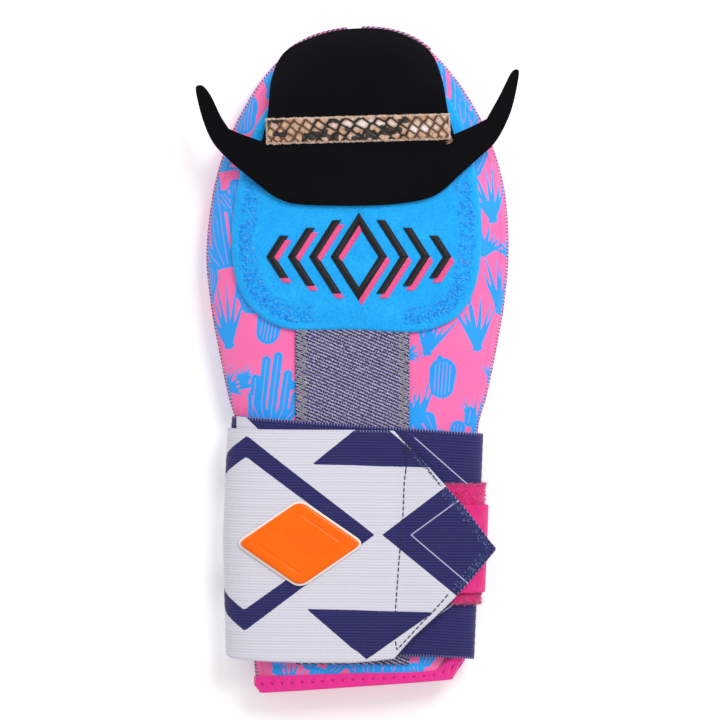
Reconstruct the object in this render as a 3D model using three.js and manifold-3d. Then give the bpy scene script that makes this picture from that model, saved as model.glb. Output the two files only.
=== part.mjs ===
// A baseball sliding mitt for one hand, lying palm down with its fingertip end towards +Y.
// Millimetres, +Z up. The origin is below the middle of the whole mitt, on the surface that it lies on.
// Two padded neoprene panels meet in an overlocked edge and leave a hand pocket that is open at the wrist.
// A plush patch carries a flat cut-out of a western hat, and an elastic strap is wound round the wrist.

import * as THREE from "three";
import { mergeVertices } from "three/addons/utils/BufferGeometryUtils.js";
import Module from "manifold-3d";

const wasm = await Module();
wasm.setup();

// Driving dimensions.
const GAP = 0.3; // air between pieces that lie on each other
const WALL = 3.2; // neoprene with its padding
const TIP_Y = 143; // fingertip end of the neoprene
const BACK_ROLL = 22; // width over which the back of the hand rolls down to the seam
const PALM_ROLL = 18;
const CROWN = 0.1; // share of the height that the back loses towards its sides
const SEAM_WIDTH = 3; // overlocked edge, outside the neoprene
const SEAM_HEIGHT = 3.8;
const SEAM_ENDS = { left: -139.8, right: -126 };
const MOUTH_Y = -142.8; // wrist end of the neoprene, on the centre line
const MOUTH_SLANT = 0.07; // the mouth is cut a little askew
const MOUTH_REACH = 70; // how far up the slant of the mouth fades out
const BINDING = { leg: 4.7, tape: 0.9, cap: 1.2 };
const CORNER = { leg: 12, bulge: 5, from: 33, to: 40.5 }; // where the binding turns up the right side
const ELASTIC = { left: -27.2, right: 22.7, top: 19, bottom: -134, thickness: 1.2 };
const PATCH_THICKNESS = 2.4;
const HAT_THICKNESS = 1.8;
const BAND = { width: 81, height: 11.6, thickness: 1.1, x: 0.3, y: 101, tilt: 1.6 };
const STRAP_THICKNESS = 1.4;
const LAYER = STRAP_THICKNESS + GAP;
const LOOP = { top: -54.8, bottom: -107.1, thickness: 1.3, from: 74, to: -34 };
const TAB = { top: -64, bottom: -102.5, thickness: 0.8, from: 71, to: -30 };
const BADGE = { x: -25.3, y: -80.7, halfLength: 29, halfHeight: 20, corner: 5, thickness: 2.2 };
const ORNAMENT = { x: 0.6, y: 45, halfWidth: 12.5, halfHeight: 19.5, pitch: 9.4, shrink: 3.4, chevrons: 3 };
const THREAD_HEIGHT = 0.9; // raised satin stitching
const STROKE = 3.4;
const SHADOW = { x: 1.3, y: -2 }; // second colour, sewn down and to the right of the first

// Outline of the neoprene inside its overlocked edge, from the wrist to the fingertips.
const OUTLINE = [
  { y: -150, centre: 0, half: 40.5 },
  { y: -132, centre: 0, half: 42.3 },
  { y: -80, centre: 0, half: 46.5 },
  { y: -29, centre: 0, half: 50.2 },
  { y: -15, centre: 0, half: 54 },
  { y: 8, centre: 0, half: 58.7 },
  { y: 24, centre: 0, half: 61.5 },
  { y: 46, centre: 0, half: 63.5 },
  { y: 70, centre: 0.6, half: 61.8 },
  { y: 86, centre: 0.8, half: 58.2 },
  { y: 100, centre: 0.8, half: 53 },
  { y: 112, centre: 0.8, half: 46.8 },
  { y: 122, centre: 0.8, half: 40.2 },
  { y: 130, centre: 1, half: 33.3 },
  { y: 136, centre: 1.5, half: 26.2 },
  { y: 140, centre: 2.4, half: 18.5 },
  { y: TIP_Y, centre: 4, half: 0 },
];

// Height of the seam above the floor, and how far the back rises and the palm drops from it.
const HEIGHTS = [
  { y: -150, seam: 11.5, rise: 7.6, drop: 7.3 },
  { y: -132, seam: 11.5, rise: 7.6, drop: 7.4 },
  { y: -30, seam: 11.5, rise: 9.4, drop: 7.8 },
  { y: -2, seam: 11.5, rise: 11.4, drop: 10.6 },
  { y: 24, seam: 11.5, rise: 13.4, drop: 12 },
  { y: 70, seam: 11.3, rise: 13.2, drop: 12 },
  { y: 110, seam: 10.5, rise: 11.6, drop: 11 },
  { y: TIP_Y, seam: 9.6, rise: 9.6, drop: 10 },
];

// Outline of the plush patch, anticlockwise from its left side. Its upper end is hidden below the hat.
const PATCH_OUTLINE = [
  { x: -55.4, y: 52 },
  { x: -53, y: 33.5 },
  { x: -45, y: 21 },
  { x: -32, y: 13.6 },
  { x: -16, y: 12.9 },
  { x: 0, y: 13 },
  { x: 16, y: 12 },
  { x: 30, y: 12.6 },
  { x: 44, y: 19 },
  { x: 52, y: 33 },
  { x: 54.7, y: 54 },
  { x: 53.2, y: 74 },
  { x: 49.6, y: 92 },
  { x: 44, y: 108.6 },
  { x: 33, y: 121.5 },
  { x: 14, y: 128 },
  { x: -10, y: 128 },
  { x: -29, y: 121.5 },
  { x: -42.5, y: 106.5 },
  { x: -49.4, y: 90 },
  { x: -53.8, y: 70 },
];

// The hat's cut-out shape, as smooth edges that meet in corners, anticlockwise from the left of the crown.
const HAT_EDGES = {
  brimTopLeft: [[-42, 95.6], [-50, 98.5], [-56.4, 101.2]],
  leftWing: [
    [-56.4, 101.2], [-60, 106.8], [-64, 115.2], [-67.2, 119.6], [-69.6, 120.4], [-71, 118], [-67.8, 105],
    [-63.1, 94.7], [-55.6, 86.9],
  ],
  brimFoot: [[-55.6, 86.9], [-37, 72.4], [-27.4, 68.4], [0, 67.4], [29, 70.8], [38, 75], [54.5, 89.3]],
  rightWing: [
    [54.5, 89.3], [60.2, 95], [65, 103.2], [68.4, 112.5], [70.9, 125.4], [69.6, 127.4], [67.1, 125.4],
    [62.5, 116.2], [56.6, 105.5],
  ],
  brimTopRight: [[56.6, 105.5], [50.3, 102.3], [42.3, 98.7]],
  crown: [
    [42.3, 98.7], [39.6, 109], [37, 124], [30.8, 135.8], [16, 144.2], [0.7, 145.7], [-15, 144.2],
    [-31.6, 135.4], [-37.7, 124], [-39.4, 107.3], [-42, 95.6],
  ],
};

// The strap's edges along its way, by the turn that it has made, in degrees, seen from the wrist.
// It starts below the palm, turns round the left side, and its outer end points to the right.
const STRAP_START = -85;
const STRAP_TOP_END = -630;
const STRAP_EDGES = [
  { turn: -630, top: -30.8, bottom: -133.2 },
  { turn: -560, top: -30.2, bottom: -131 },
  { turn: -540, top: -30, bottom: -129 },
  { turn: -450, top: -31, bottom: -131 },
  { turn: -360, top: -32.8, bottom: -132.2 },
  { turn: -270, top: -29, bottom: -130.4 },
  { turn: -180, top: -25.8, bottom: -127.4 },
  { turn: -85, top: -28, bottom: -129 },
];
const STRAP_STEP_OUT = { from: -405, to: -440 }; // below the palm, where it passes its own start
const STRAP_POINT = [
  { x: 8, top: -31, bottom: -132.3 },
  { x: 16, top: -31.2, bottom: -131.4 },
  { x: 24, top: -39.6, bottom: -122.2 },
  { x: 31, top: -46.8, bottom: -115.7 },
  { x: 38, top: -54.6, bottom: -109.2 },
  { x: 46, top: -63.6, bottom: -101 },
  { x: 53, top: -72.6, bottom: -92.8 },
  { x: 58, top: -79.4, bottom: -86.7 },
  { x: 60.5, top: -82.3, bottom: -83.6 },
];
const POINT_LIFT = { height: 2.2, from: 16, to: 38, straightFrom: 30 }; // it rises over the fastener tapes
const QUARTER_TURN = [0, 10, 22, 36, 52, 68, 80, 88]; // close together where the strap bends most

const rad = THREE.MathUtils.degToRad;
const lerp = THREE.MathUtils.lerp;
const clamp = THREE.MathUtils.clamp;
const smoothstep = THREE.MathUtils.smoothstep;

// Smooth curve through the rows of a table, at a place that lies between them.
function along(rows, column, place, key = "y") {
  let k = 0;
  while (k < rows.length - 2 && place > rows[k + 1][key]) k++;
  const slope = (n) => {
    const before = rows[Math.max(n - 1, 0)];
    const after = rows[Math.min(n + 1, rows.length - 1)];
    return (after[column] - before[column]) / (after[key] - before[key]);
  };
  const [a, b] = [rows[k], rows[k + 1]];
  const span = b[key] - a[key];
  const t = clamp((place - a[key]) / span, 0, 1);
  const [t2, t3] = [t * t, t * t * t];
  return (
    (2 * t3 - 3 * t2 + 1) * a[column] +
    (t3 - 2 * t2 + t) * span * slope(k) +
    (3 * t2 - 2 * t3) * b[column] +
    (t3 - t2) * span * slope(k + 1)
  );
}

// The outline is interpolated by the square of its half width, so that the fingertip end is round.
const SQUARED_OUTLINE = OUTLINE.map((row) => ({ ...row, square: row.half ** 2 }));
const halfWidth = (y) => Math.sqrt(Math.max(along(SQUARED_OUTLINE, "square", y), 0));
const centreLine = (y) => along(OUTLINE, "centre", y);
const seamHeight = (y) => along(HEIGHTS, "seam", y);

// The outline as a line of points: up the left side, over the tip and down the right side.
const OUTLINE_STEPS = 90;
const OUTLINE_END_Y = -175; // well below the mouth, so that the wrist has no round end
const sideHeights = Array.from({ length: OUTLINE_STEPS + 1 }, (_, k) =>
  lerp(OUTLINE_END_Y, TIP_Y, Math.sin((k / OUTLINE_STEPS) * (Math.PI / 2))),
);
const outlineLine = [
  ...sideHeights.map((y) => [centreLine(y) - halfWidth(y), y]),
  ...sideHeights.slice(0, -1).reverse().map((y) => [centreLine(y) + halfWidth(y), y]),
];

// Distance from a point to the outline, below zero outside it.
function inside(x, y) {
  let nearest = Infinity;
  for (let k = 0; k < outlineLine.length - 1; k++) {
    const [ax, ay] = outlineLine[k];
    const [bx, by] = outlineLine[k + 1];
    const [dx, dy] = [bx - ax, by - ay];
    const t = clamp(((x - ax) * dx + (y - ay) * dy) / (dx * dx + dy * dy), 0, 1);
    nearest = Math.min(nearest, Math.hypot(x - ax - t * dx, y - ay - t * dy));
  }
  return y < TIP_Y && Math.abs(x - centreLine(y)) < halfWidth(y) ? nearest : -nearest;
}

// Quarter of an ellipse: 0 at the edge, 1 from one roll width inwards.
const roll = (share) => Math.sqrt(1 - (1 - clamp(share, 0, 1)) ** 2);

// Height of the back of the hand: of its outer face, or of the face that lies an inset below it.
function backHeight(x, y, inset = 0) {
  const across = clamp((x - centreLine(y)) / Math.max(halfWidth(y), 1), -1, 1);
  const share = (inside(x, y) - inset) / (BACK_ROLL - inset);
  const rise = along(HEIGHTS, "rise", y) - inset;
  return seamHeight(y) + GAP / 2 + rise * roll(share) * (1 - CROWN * across ** 2);
}

// Height of the palm, which is pressed flat where it lies on the floor.
function palmHeight(x, y, inset = 0) {
  const share = (inside(x, y) - inset) / (PALM_ROLL - inset);
  const drop = along(HEIGHTS, "drop", y) - inset;
  return Math.max(seamHeight(y) - GAP / 2 - drop * roll(share), inset);
}

// Where the line that lies an inset inside the outline crosses a height, on the left (-1) or right (1).
function insetEdge(y, inset, side) {
  let [near, far] = [0, halfWidth(y)];
  for (let n = 0; n < 24; n++) {
    const middle = (near + far) / 2;
    if (inside(centreLine(y) + side * middle, y) > inset) near = middle;
    else far = middle;
  }
  return centreLine(y) + side * far;
}

// A geometry from corners and the triangles that join them.
function geometryOf(corners, triangles) {
  const geometry = new THREE.BufferGeometry();
  geometry.setAttribute("position", new THREE.Float32BufferAttribute(corners.flat(), 3));
  geometry.setIndex(triangles);
  return geometry;
}

// A closed geometry as a manifold-3d solid, turned right side out.
function solidOf(geometry) {
  const bare = geometry.clone();
  bare.deleteAttribute("normal");
  bare.deleteAttribute("uv");
  const merged = mergeVertices(bare, 1e-4);
  const vertProperties = merged.attributes.position.array;
  const triVerts = new Uint32Array(merged.index.array);
  const made = new wasm.Manifold(new wasm.Mesh({ numProp: 3, vertProperties, triVerts }));
  if (made.volume() > 0) return made;
  triVerts.reverse();
  return new wasm.Manifold(new wasm.Mesh({ numProp: 3, vertProperties, triVerts }));
}

function geometryFrom(solid) {
  const mesh = solid.getMesh();
  const geometry = new THREE.BufferGeometry();
  geometry.setAttribute("position", new THREE.BufferAttribute(mesh.vertProperties, 3));
  geometry.setIndex(new THREE.BufferAttribute(mesh.triVerts, 1));
  const faceted = geometry.toNonIndexed();
  faceted.computeVertexNormals();
  return faceted;
}

// The solid between two grids of points with the same rows and columns, with the four sides that join them.
function between(upper, lower) {
  const [rows, columns] = [upper.length, upper[0].length];
  const corners = [...upper.flat(), ...lower.flat()];
  const triangles = [];
  const at = (grid, j, i) => (grid * rows + j) * columns + i;
  const quad = (a, b, c, d) => triangles.push(a, b, c, a, c, d);
  for (let j = 0; j < rows - 1; j++) {
    for (let i = 0; i < columns - 1; i++) {
      quad(at(0, j, i), at(0, j, i + 1), at(0, j + 1, i + 1), at(0, j + 1, i));
      quad(at(1, j, i), at(1, j + 1, i), at(1, j + 1, i + 1), at(1, j, i + 1));
    }
    quad(at(0, j, 0), at(0, j + 1, 0), at(1, j + 1, 0), at(1, j, 0));
    quad(at(0, j, columns - 1), at(1, j, columns - 1), at(1, j + 1, columns - 1), at(0, j + 1, columns - 1));
  }
  for (let i = 0; i < columns - 1; i++) {
    quad(at(0, 0, i), at(1, 0, i), at(1, 0, i + 1), at(0, 0, i + 1));
    quad(at(0, rows - 1, i), at(0, rows - 1, i + 1), at(1, rows - 1, i + 1), at(1, rows - 1, i));
  }
  return solidOf(geometryOf(corners, triangles));
}

// The solid through a row of like polygons, closed on itself or capped at both ends.
function loft(sections, closed) {
  const count = sections[0].length;
  const triangles = [];
  const at = (k, i) => (k % sections.length) * count + (i % count);
  const spans = closed ? sections.length : sections.length - 1;
  for (let k = 0; k < spans; k++) {
    for (let i = 0; i < count; i++) {
      triangles.push(at(k, i), at(k, i + 1), at(k + 1, i + 1));
      triangles.push(at(k, i), at(k + 1, i + 1), at(k + 1, i));
    }
  }
  if (!closed) {
    const last = sections.length - 1;
    for (let i = 1; i < count - 1; i++) {
      triangles.push(at(0, 0), at(0, i + 1), at(0, i));
      triangles.push(at(last, 0), at(last, i), at(last, i + 1));
    }
  }
  return solidOf(geometryOf(sections.flat(), triangles));
}

// Rows of points over a box, one cell apart or a little less.
function regularGrid(left, right, low, high, cell) {
  const [across, up] = [Math.ceil((right - left) / cell), Math.ceil((high - low) / cell)];
  return Array.from({ length: up + 1 }, (_, j) =>
    Array.from({ length: across + 1 }, (_, i) => [lerp(left, right, i / across), lerp(low, high, j / up)]),
  );
}

// A sheet that lies on a surface: the cut-out shape, from a bottom height up to a top height.
// Its facets are the cells of the grid, so that sheets on one grid lie evenly on each other.
const SHEET_REACH = 90; // taller than anything that a sheet lies on
function drape(shape, grid, bottom, top) {
  const face = (height) => grid.map((row) => row.map(([x, y]) => [x, y, height(x, y)]));
  const prism = new THREE.ExtrudeGeometry(shape, {
    depth: SHEET_REACH,
    bevelEnabled: false,
    curveSegments: 6,
  }).translate(0, 0, -SHEET_REACH / 3);
  return between(face(top), face(bottom)).intersect(solidOf(prism));
}

const polygon = (points) => new THREE.Shape(points.map(([x, y]) => new THREE.Vector2(x, y)));
const rectangle = (left, right, low, high) =>
  polygon([[left, low], [right, low], [right, high], [left, high]]);

// Neoprene panels: the same rows and columns on the outer face and on the face one wall inside it.
const PANEL_LEVELS = [
  MOUTH_Y, -127, -104, -80, -56, -38, -29, -24, -18, -9, 2, 14, 27, 41, 56, 71, 85, 97, 108, 117, 125, 131,
  135.5, 139, 141.3, 142.6,
];
const PANEL_ROWS = PANEL_LEVELS.length - 1;
const PANEL_COLUMNS = 18;
const ROUND_END_Y = 97; // beyond it, the inner face's rows are drawn in by the wall

function panelGrid(height, inset) {
  const shrink = (TIP_Y - ROUND_END_Y - inset) / (TIP_Y - ROUND_END_Y);
  return PANEL_LEVELS.map((outerLevel, j) => {
    const level = outerLevel > ROUND_END_Y ? ROUND_END_Y + (outerLevel - ROUND_END_Y) * shrink : outerLevel;
    const [left, right] = [insetEdge(level, inset, -1), insetEdge(level, inset, 1)];
    const slant = MOUTH_SLANT * clamp(1 - (level - MOUTH_Y) / MOUTH_REACH, 0, 1) ** 2;
    return Array.from({ length: PANEL_COLUMNS + 1 }, (_, i) => {
      const x = lerp(left, right, (1 - Math.cos((i / PANEL_COLUMNS) * Math.PI)) / 2);
      const onEdge = j === PANEL_ROWS || i === 0 || i === PANEL_COLUMNS;
      const z = onEdge ? height(left - WALL, level, inset) : height(x, level, inset);
      return [x, level + slant * x, z];
    });
  });
}

const backOuter = panelGrid(backHeight, 0);
const backInner = panelGrid(backHeight, WALL);
const palmOuter = panelGrid(palmHeight, 0);
const palmInner = panelGrid(palmHeight, WALL);

// One side of the panels' edge, from its end near the wrist to the fingertips.
function edgeLine(column, endY) {
  const points = backOuter.map((row) => row[column]);
  const first = points.findIndex((point) => point[1] > endY + 1);
  const [below, above] = [points[first - 1], points[first]];
  const share = (endY - below[1]) / (above[1] - below[1]);
  return [[lerp(below[0], above[0], share), endY], ...points.slice(first)];
}

// Overlocked edge: a firm welt outside both panels, from the wrist over the fingertips to the wrist again.
function edgeSeam() {
  const line = [...edgeLine(0, SEAM_ENDS.left), ...edgeLine(PANEL_COLUMNS, SEAM_ENDS.right).reverse()];
  const half = SEAM_HEIGHT / 2;
  const chamfer = 0.8;
  const far = GAP + SEAM_WIDTH;
  const profile = [
    [GAP, -half],
    [far - chamfer, -half],
    [far, chamfer - half],
    [far, half - chamfer],
    [far - chamfer, half],
    [GAP, half],
  ];
  const sections = line.map(([x, y], k) => {
    const before = line[Math.max(k - 1, 0)];
    const after = line[Math.min(k + 1, line.length - 1)];
    const step = new THREE.Vector2(after[0] - before[0], after[1] - before[1]).normalize();
    return profile.map(([out, z]) => [x - step.y * out, y + step.x * out, seamHeight(y) + z]);
  });
  return loft(sections, false);
}

// Edge binding: a tape folded over the walls all round the mouth, a U in section. Its legs follow the walls.
function wristBinding() {
  const station = (outer, inner, i, depth) => {
    const [first, second] = [outer[0][i], outer[1][i]];
    const corner = smoothstep(first[0], CORNER.from, CORNER.to);
    const share = (depth * lerp(BINDING.leg, CORNER.leg, corner)) / (second[1] - first[1]);
    const [out, inn] = [outer, inner].map((grid) =>
      new THREE.Vector3(...grid[0][i]).lerp(new THREE.Vector3(...grid[1][i]), share),
    );
    const half = out.clone().sub(inn).divideScalar(2);
    const bulge = depth * corner * CORNER.bulge * (half.x / half.length()) ** 2;
    return { middle: out.add(inn).divideScalar(2), half, bulge };
  };
  const columns = Array.from({ length: PANEL_COLUMNS + 1 }, (_, i) => i);
  const ring = [
    ...columns.map((i) => [0, 1].map((depth) => station(backOuter, backInner, i, depth))),
    ...columns.reverse().map((i) => [0, 1].map((depth) => station(palmOuter, palmInner, i, depth))),
  ];
  const soft = 0.6; // rounding of the fold
  const tape = GAP + BINDING.tape;
  // Side of the wall, distance from its face, station, and distance beyond the mouth.
  const profile = [
    [1, tape, 1, 0],
    [1, tape, 0, BINDING.cap - soft],
    [1, tape - soft, 0, BINDING.cap],
    [-1, tape - soft, 0, BINDING.cap],
    [-1, tape, 0, BINDING.cap - soft],
    [-1, tape, 1, 0],
    [-1, GAP, 1, 0],
    [-1, GAP, 0, GAP],
    [1, GAP, 0, GAP],
    [1, GAP, 1, 0],
  ];
  const sections = ring.map((stations) =>
    profile.map(([side, out, depth, beyond]) => {
      const { middle, half, bulge } = stations[depth];
      const reach = half.length() + out + (out > GAP && side > 0 ? bulge : 0);
      const far = half.clone().setLength(reach).multiplyScalar(side);
      return [middle.x + far.x, middle.y + far.y - beyond, middle.z + far.z];
    }),
  );
  return loft(sections, true);
}

// Heights of the sheets that lie on the back of the hand. They share the facets of its panel.
const backGrid = backOuter.map((row) => row.map(([x, y]) => [x, y]));
const elasticBottom = (x, y) => backHeight(x, y) + GAP;
const elasticTop = (x, y) => elasticBottom(x, y) + ELASTIC.thickness;
const patchTop = (x, y) => backHeight(x, y) + GAP + PATCH_THICKNESS;

function elasticStrip() {
  const shape = rectangle(ELASTIC.left, ELASTIC.right, ELASTIC.bottom, ELASTIC.top);
  return drape(shape, backGrid, elasticBottom, elasticTop);
}

// Plush patch, hollowed below where the elastic strip is tucked under its edge.
function backPatch() {
  const shape = new THREE.Shape();
  const [first, ...rest] = PATCH_OUTLINE.map(({ x, y }) => new THREE.Vector2(x, y));
  shape.moveTo(first.x, first.y);
  shape.splineThru([...rest, first]);
  const sheet = drape(shape, backGrid, elasticBottom, patchTop);
  const tuck = rectangle(ELASTIC.left - GAP, ELASTIC.right + GAP, 0, ELASTIC.top + GAP);
  const room = drape(tuck, backGrid, backHeight, (x, y) => elasticTop(x, y) + GAP);
  return sheet.subtract(room);
}

// Hat: a stiff flat sheet. It is level over the patch and out to the tips of its brim,
// and bends down to the overlocked edge that its crown is caught in.
const HAT_GRID = regularGrid(-72, 72, 66, 147, 8);
const HAT_ROLL = 18;
const HAT_CLEARANCE = 0.4; // over the facets of the patch, which are not its own
const HAT_BEND = { fromY: 108, toY: 126, fullX: 42, noneX: 52 }; // the brim's tips don't bend with the crown
const BRIM = { reach: 70, sag: 1.2 }; // of the free tips

function hatBottom(x, y) {
  const level = patchTop(centreLine(y), Math.min(y, TIP_Y - HAT_ROLL)) + HAT_CLEARANCE;
  const sagging = level - BRIM.sag * (x / BRIM.reach) ** 2;
  const edge = seamHeight(y) + SEAM_HEIGHT / 2 + GAP;
  const beside = smoothstep(Math.abs(x), HAT_BEND.fullX, HAT_BEND.noneX);
  const atCrown = smoothstep(y, HAT_BEND.fromY, HAT_BEND.toY) * (1 - beside);
  const fromEdge = inside(x, y) + GAP + SEAM_WIDTH;
  return lerp(sagging, edge, atCrown * clamp(1 - fromEdge / HAT_ROLL, 0, 1) ** 2);
}

function hatShape() {
  const shape = new THREE.Shape();
  shape.moveTo(...HAT_EDGES.brimTopLeft[0]);
  for (const edge of Object.values(HAT_EDGES)) {
    shape.splineThru(edge.slice(1).map(([x, y]) => new THREE.Vector2(x, y)));
  }
  return shape;
}

const hatTop = (x, y) => hatBottom(x, y) + HAT_THICKNESS;

function hatBand() {
  const turn = rad(BAND.tilt);
  const corners = [[-1, -1], [1, -1], [1, 1], [-1, 1]].map(([u, v]) => {
    const [right, up] = [(u * BAND.width) / 2, (v * BAND.height) / 2];
    return [
      BAND.x + right * Math.cos(turn) - up * Math.sin(turn),
      BAND.y + right * Math.sin(turn) + up * Math.cos(turn),
    ];
  });
  const bottom = (x, y) => hatTop(x, y) + GAP;
  return drape(polygon(corners), HAT_GRID, bottom, (x, y) => bottom(x, y) + BAND.thickness);
}

// Satin stitched ornament on the patch: a diamond between chevrons, each with its shadow.
function ornamentPiece(points) {
  const lift = (x, y) => patchTop(x, y) + GAP;
  const [figure, shadow] = [0, 1].map((n) => {
    const moved = points.map(([x, y]) => [ORNAMENT.x + x + n * SHADOW.x, ORNAMENT.y + y + n * SHADOW.y]);
    return drape(polygon(moved), backGrid, lift, (x, y) => lift(x, y) + THREAD_HEIGHT);
  });
  return figure.add(shadow);
}

function stitchedChevron(side, number) {
  const slope = ORNAMENT.halfHeight / ORNAMENT.halfWidth;
  const apex = ORNAMENT.halfWidth + ORNAMENT.pitch * number;
  const half = ORNAMENT.halfHeight - ORNAMENT.shrink * number;
  const thick = STROKE * Math.hypot(1, 1 / slope);
  const foot = apex - half / slope;
  const points = [
    [apex, 0], [foot, half], [foot - thick, half], [apex - thick, 0], [foot - thick, -half], [foot, -half],
  ].map(([px, py]) => [side * px, py]);
  return ornamentPiece(points);
}

function stitchedDiamond() {
  const [w, h] = [ORNAMENT.halfWidth, ORNAMENT.halfHeight];
  const inner = 1 - (STROKE * Math.hypot(w, h)) / (w * h);
  const ring = [[w, 0], [0, h], [-w, 0], [0, -h]];
  const whole = ornamentPiece(ring);
  const hole = ring.map(([px, py]) => [ORNAMENT.x + px * inner, ORNAMENT.y + py * inner]);
  return whole.subtract(drape(polygon(hole), backGrid, () => 0, () => SHEET_REACH / 3));
}

// Section of the wound strap's inner face: a flat superellipse, by height along the wrist.
const WRIST_SECTION = [
  { y: -140, left: 55.2, right: 49.8, top: 21, bottom: 3.1 },
  { y: -20, left: 55.2, right: 54.6, top: 23.3, bottom: 3.1 },
];
const FLATNESS = { across: 6, up: 2.5 }; // powers of the superellipse

function strapSection(y, offset) {
  const [low, high] = WRIST_SECTION;
  const share = (y - low.y) / (high.y - low.y);
  const at = (column) => lerp(low[column], high[column], share);
  return {
    centre: (at("right") - at("left")) / 2,
    halfAcross: (at("right") + at("left")) / 2 + offset,
    middle: (at("top") + at("bottom")) / 2,
    halfUp: (at("top") - at("bottom")) / 2 + offset,
  };
}

function strapPoint(turn, y, offset) {
  const s = strapSection(y, offset);
  const [c, n] = [Math.cos(rad(turn)), Math.sin(rad(turn))];
  return [
    s.centre + s.halfAcross * Math.sign(c) * Math.abs(c) ** (2 / FLATNESS.across),
    y,
    s.middle + s.halfUp * Math.sign(n) * Math.abs(n) ** (2 / FLATNESS.up),
  ];
}

// Height of the wound strap's face above the back of the wrist, at an offset from its inner face.
function strapTopHeight(x, y, offset) {
  const s = strapSection(y, offset);
  const across = clamp(Math.abs((x - s.centre) / s.halfAcross), 0, 1);
  return s.middle + s.halfUp * (1 - across ** FLATNESS.across) ** (1 / FLATNESS.up);
}

// Turns from one angle down to another, close together at the sides of the wrist.
function turnsBetween(from, to) {
  const turns = [];
  for (let quarter = Math.ceil(from / 90); quarter >= Math.floor(to / 90); quarter--) {
    for (const step of QUARTER_TURN) {
      const flip = Math.abs(quarter) % 2 === 1;
      turns.push(quarter * 90 - (flip ? 90 - step : step));
    }
  }
  const inRange = turns.filter((turn) => turn < from - 1 && turn > to + 1);
  return [from, ...[...new Set(inRange)].sort((a, b) => b - a), to];
}

const ACROSS_STRAP = [0, 0.33, 0.67, 1];

function woundStrap() {
  const { from, to } = STRAP_STEP_OUT;
  const offsetAt = (turn) => LAYER * clamp((from - turn) / (from - to), 0, 1);
  const faces = [0, STRAP_THICKNESS].map((depth) => {
    const rows = turnsBetween(STRAP_START, STRAP_TOP_END).map((turn) => {
      const [top, bottom] = ["top", "bottom"].map((edge) => along(STRAP_EDGES, edge, turn, "turn"));
      return ACROSS_STRAP.map((share) => strapPoint(turn, lerp(top, bottom, share), offsetAt(turn) + depth));
    });
    for (const { x, top, bottom } of STRAP_POINT) {
      const lift = POINT_LIFT.height * smoothstep(x, POINT_LIFT.from, POINT_LIFT.to);
      rows.push(ACROSS_STRAP.map((share) => {
        const y = lerp(top, bottom, share);
        return [x, y, strapTopHeight(Math.min(x, POINT_LIFT.straightFrom), y, LAYER + depth) + lift];
      }));
    }
    return rows;
  });
  return between(faces[1], faces[0]);
}

// A short band of tape that lies outside the strap's inner layer and bends round the right side.
function sideTape({ top, bottom, thickness, from, to }, offset) {
  const levels = ACROSS_STRAP.map((share) => lerp(top, bottom, share));
  const [outer, inner] = [offset + thickness, offset].map((depth) =>
    turnsBetween(from, to).map((turn) => levels.map((y) => strapPoint(turn, y, depth))),
  );
  return between(outer, inner);
}

// Moulded lozenge with rounded corners, on the outer layer of the strap.
function strapBadge() {
  const { x, y, halfLength, halfHeight, corner, thickness } = BADGE;
  const shape = new THREE.Shape();
  const points = [[halfLength, 0], [0, halfHeight], [-halfLength, 0], [0, -halfHeight]];
  const side = Math.hypot(halfLength, halfHeight);
  points.forEach(([px, py], k) => {
    const [before, after] = [points[(k + 3) % 4], points[(k + 1) % 4]];
    const share = corner / side;
    const towards = ([qx, qy]) => [x + px + (qx - px) * share, y + py + (qy - py) * share];
    const [enter, leave] = [towards(before), towards(after)];
    if (k === 0) shape.moveTo(...enter);
    else shape.lineTo(...enter);
    shape.quadraticCurveTo(x + px, y + py, ...leave);
  });
  shape.closePath();
  const grid = regularGrid(x - halfLength - 1, x + halfLength + 1, y - halfHeight - 1, y + halfHeight + 1, 7);
  const bottom = (px, py) => strapTopHeight(px, py, LAYER + STRAP_THICKNESS + GAP);
  return drape(shape, grid, bottom, (px, py) => bottom(px, py) + thickness);
}

// Materials, by the look of each sub-part.
const finish = (color, roughness) => new THREE.MeshStandardMaterial({ color, roughness, metalness: 0 });
const MATERIALS = {
  neoprene: finish(0xff69ad, 0.75),
  overlock: finish(0xa98a9f, 0.8),
  binding: finish(0xf5289a, 0.8),
  heather: finish(0x6d6f9a, 0.85),
  plush: finish(0x2299f2, 0.9),
  felt: finish(0x15141a, 0.85),
  snakeskin: finish(0xb89a85, 0.45),
  webbing: finish(0xe6e4f0, 0.8),
  loopPile: finish(0xe0207f, 0.95),
  hookTape: finish(0xee2c8a, 0.8),
  rubber: finish(0xff6a00, 0.3),
  thread: finish(0x141318, 0.6),
};

const mitt = new THREE.Group();

function addPiece(name, solid, material) {
  const mesh = new THREE.Mesh(geometryFrom(solid), material);
  mesh.name = name;
  mitt.add(mesh);
}

addPiece("back_panel", between(backOuter, backInner), MATERIALS.neoprene);
addPiece("palm_panel", between(palmInner, palmOuter), MATERIALS.neoprene);
addPiece("edge_overlock", edgeSeam(), MATERIALS.overlock);
addPiece("wrist_binding", wristBinding(), MATERIALS.binding);
addPiece("elastic_strip", elasticStrip(), MATERIALS.heather);
addPiece("plush_patch", backPatch(), MATERIALS.plush);
addPiece("hat_cutout", drape(hatShape(), HAT_GRID, hatBottom, hatTop), MATERIALS.felt);
addPiece("hat_band", hatBand(), MATERIALS.snakeskin);
addPiece("wrist_strap", woundStrap(), MATERIALS.webbing);
addPiece("loop_strip", sideTape(LOOP, LAYER), MATERIALS.loopPile);
addPiece("hook_tab", sideTape(TAB, LAYER + LOOP.thickness + GAP), MATERIALS.hookTape);
addPiece("strap_badge", strapBadge(), MATERIALS.rubber);
addPiece("stitched_diamond", stitchedDiamond(), MATERIALS.thread);
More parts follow.
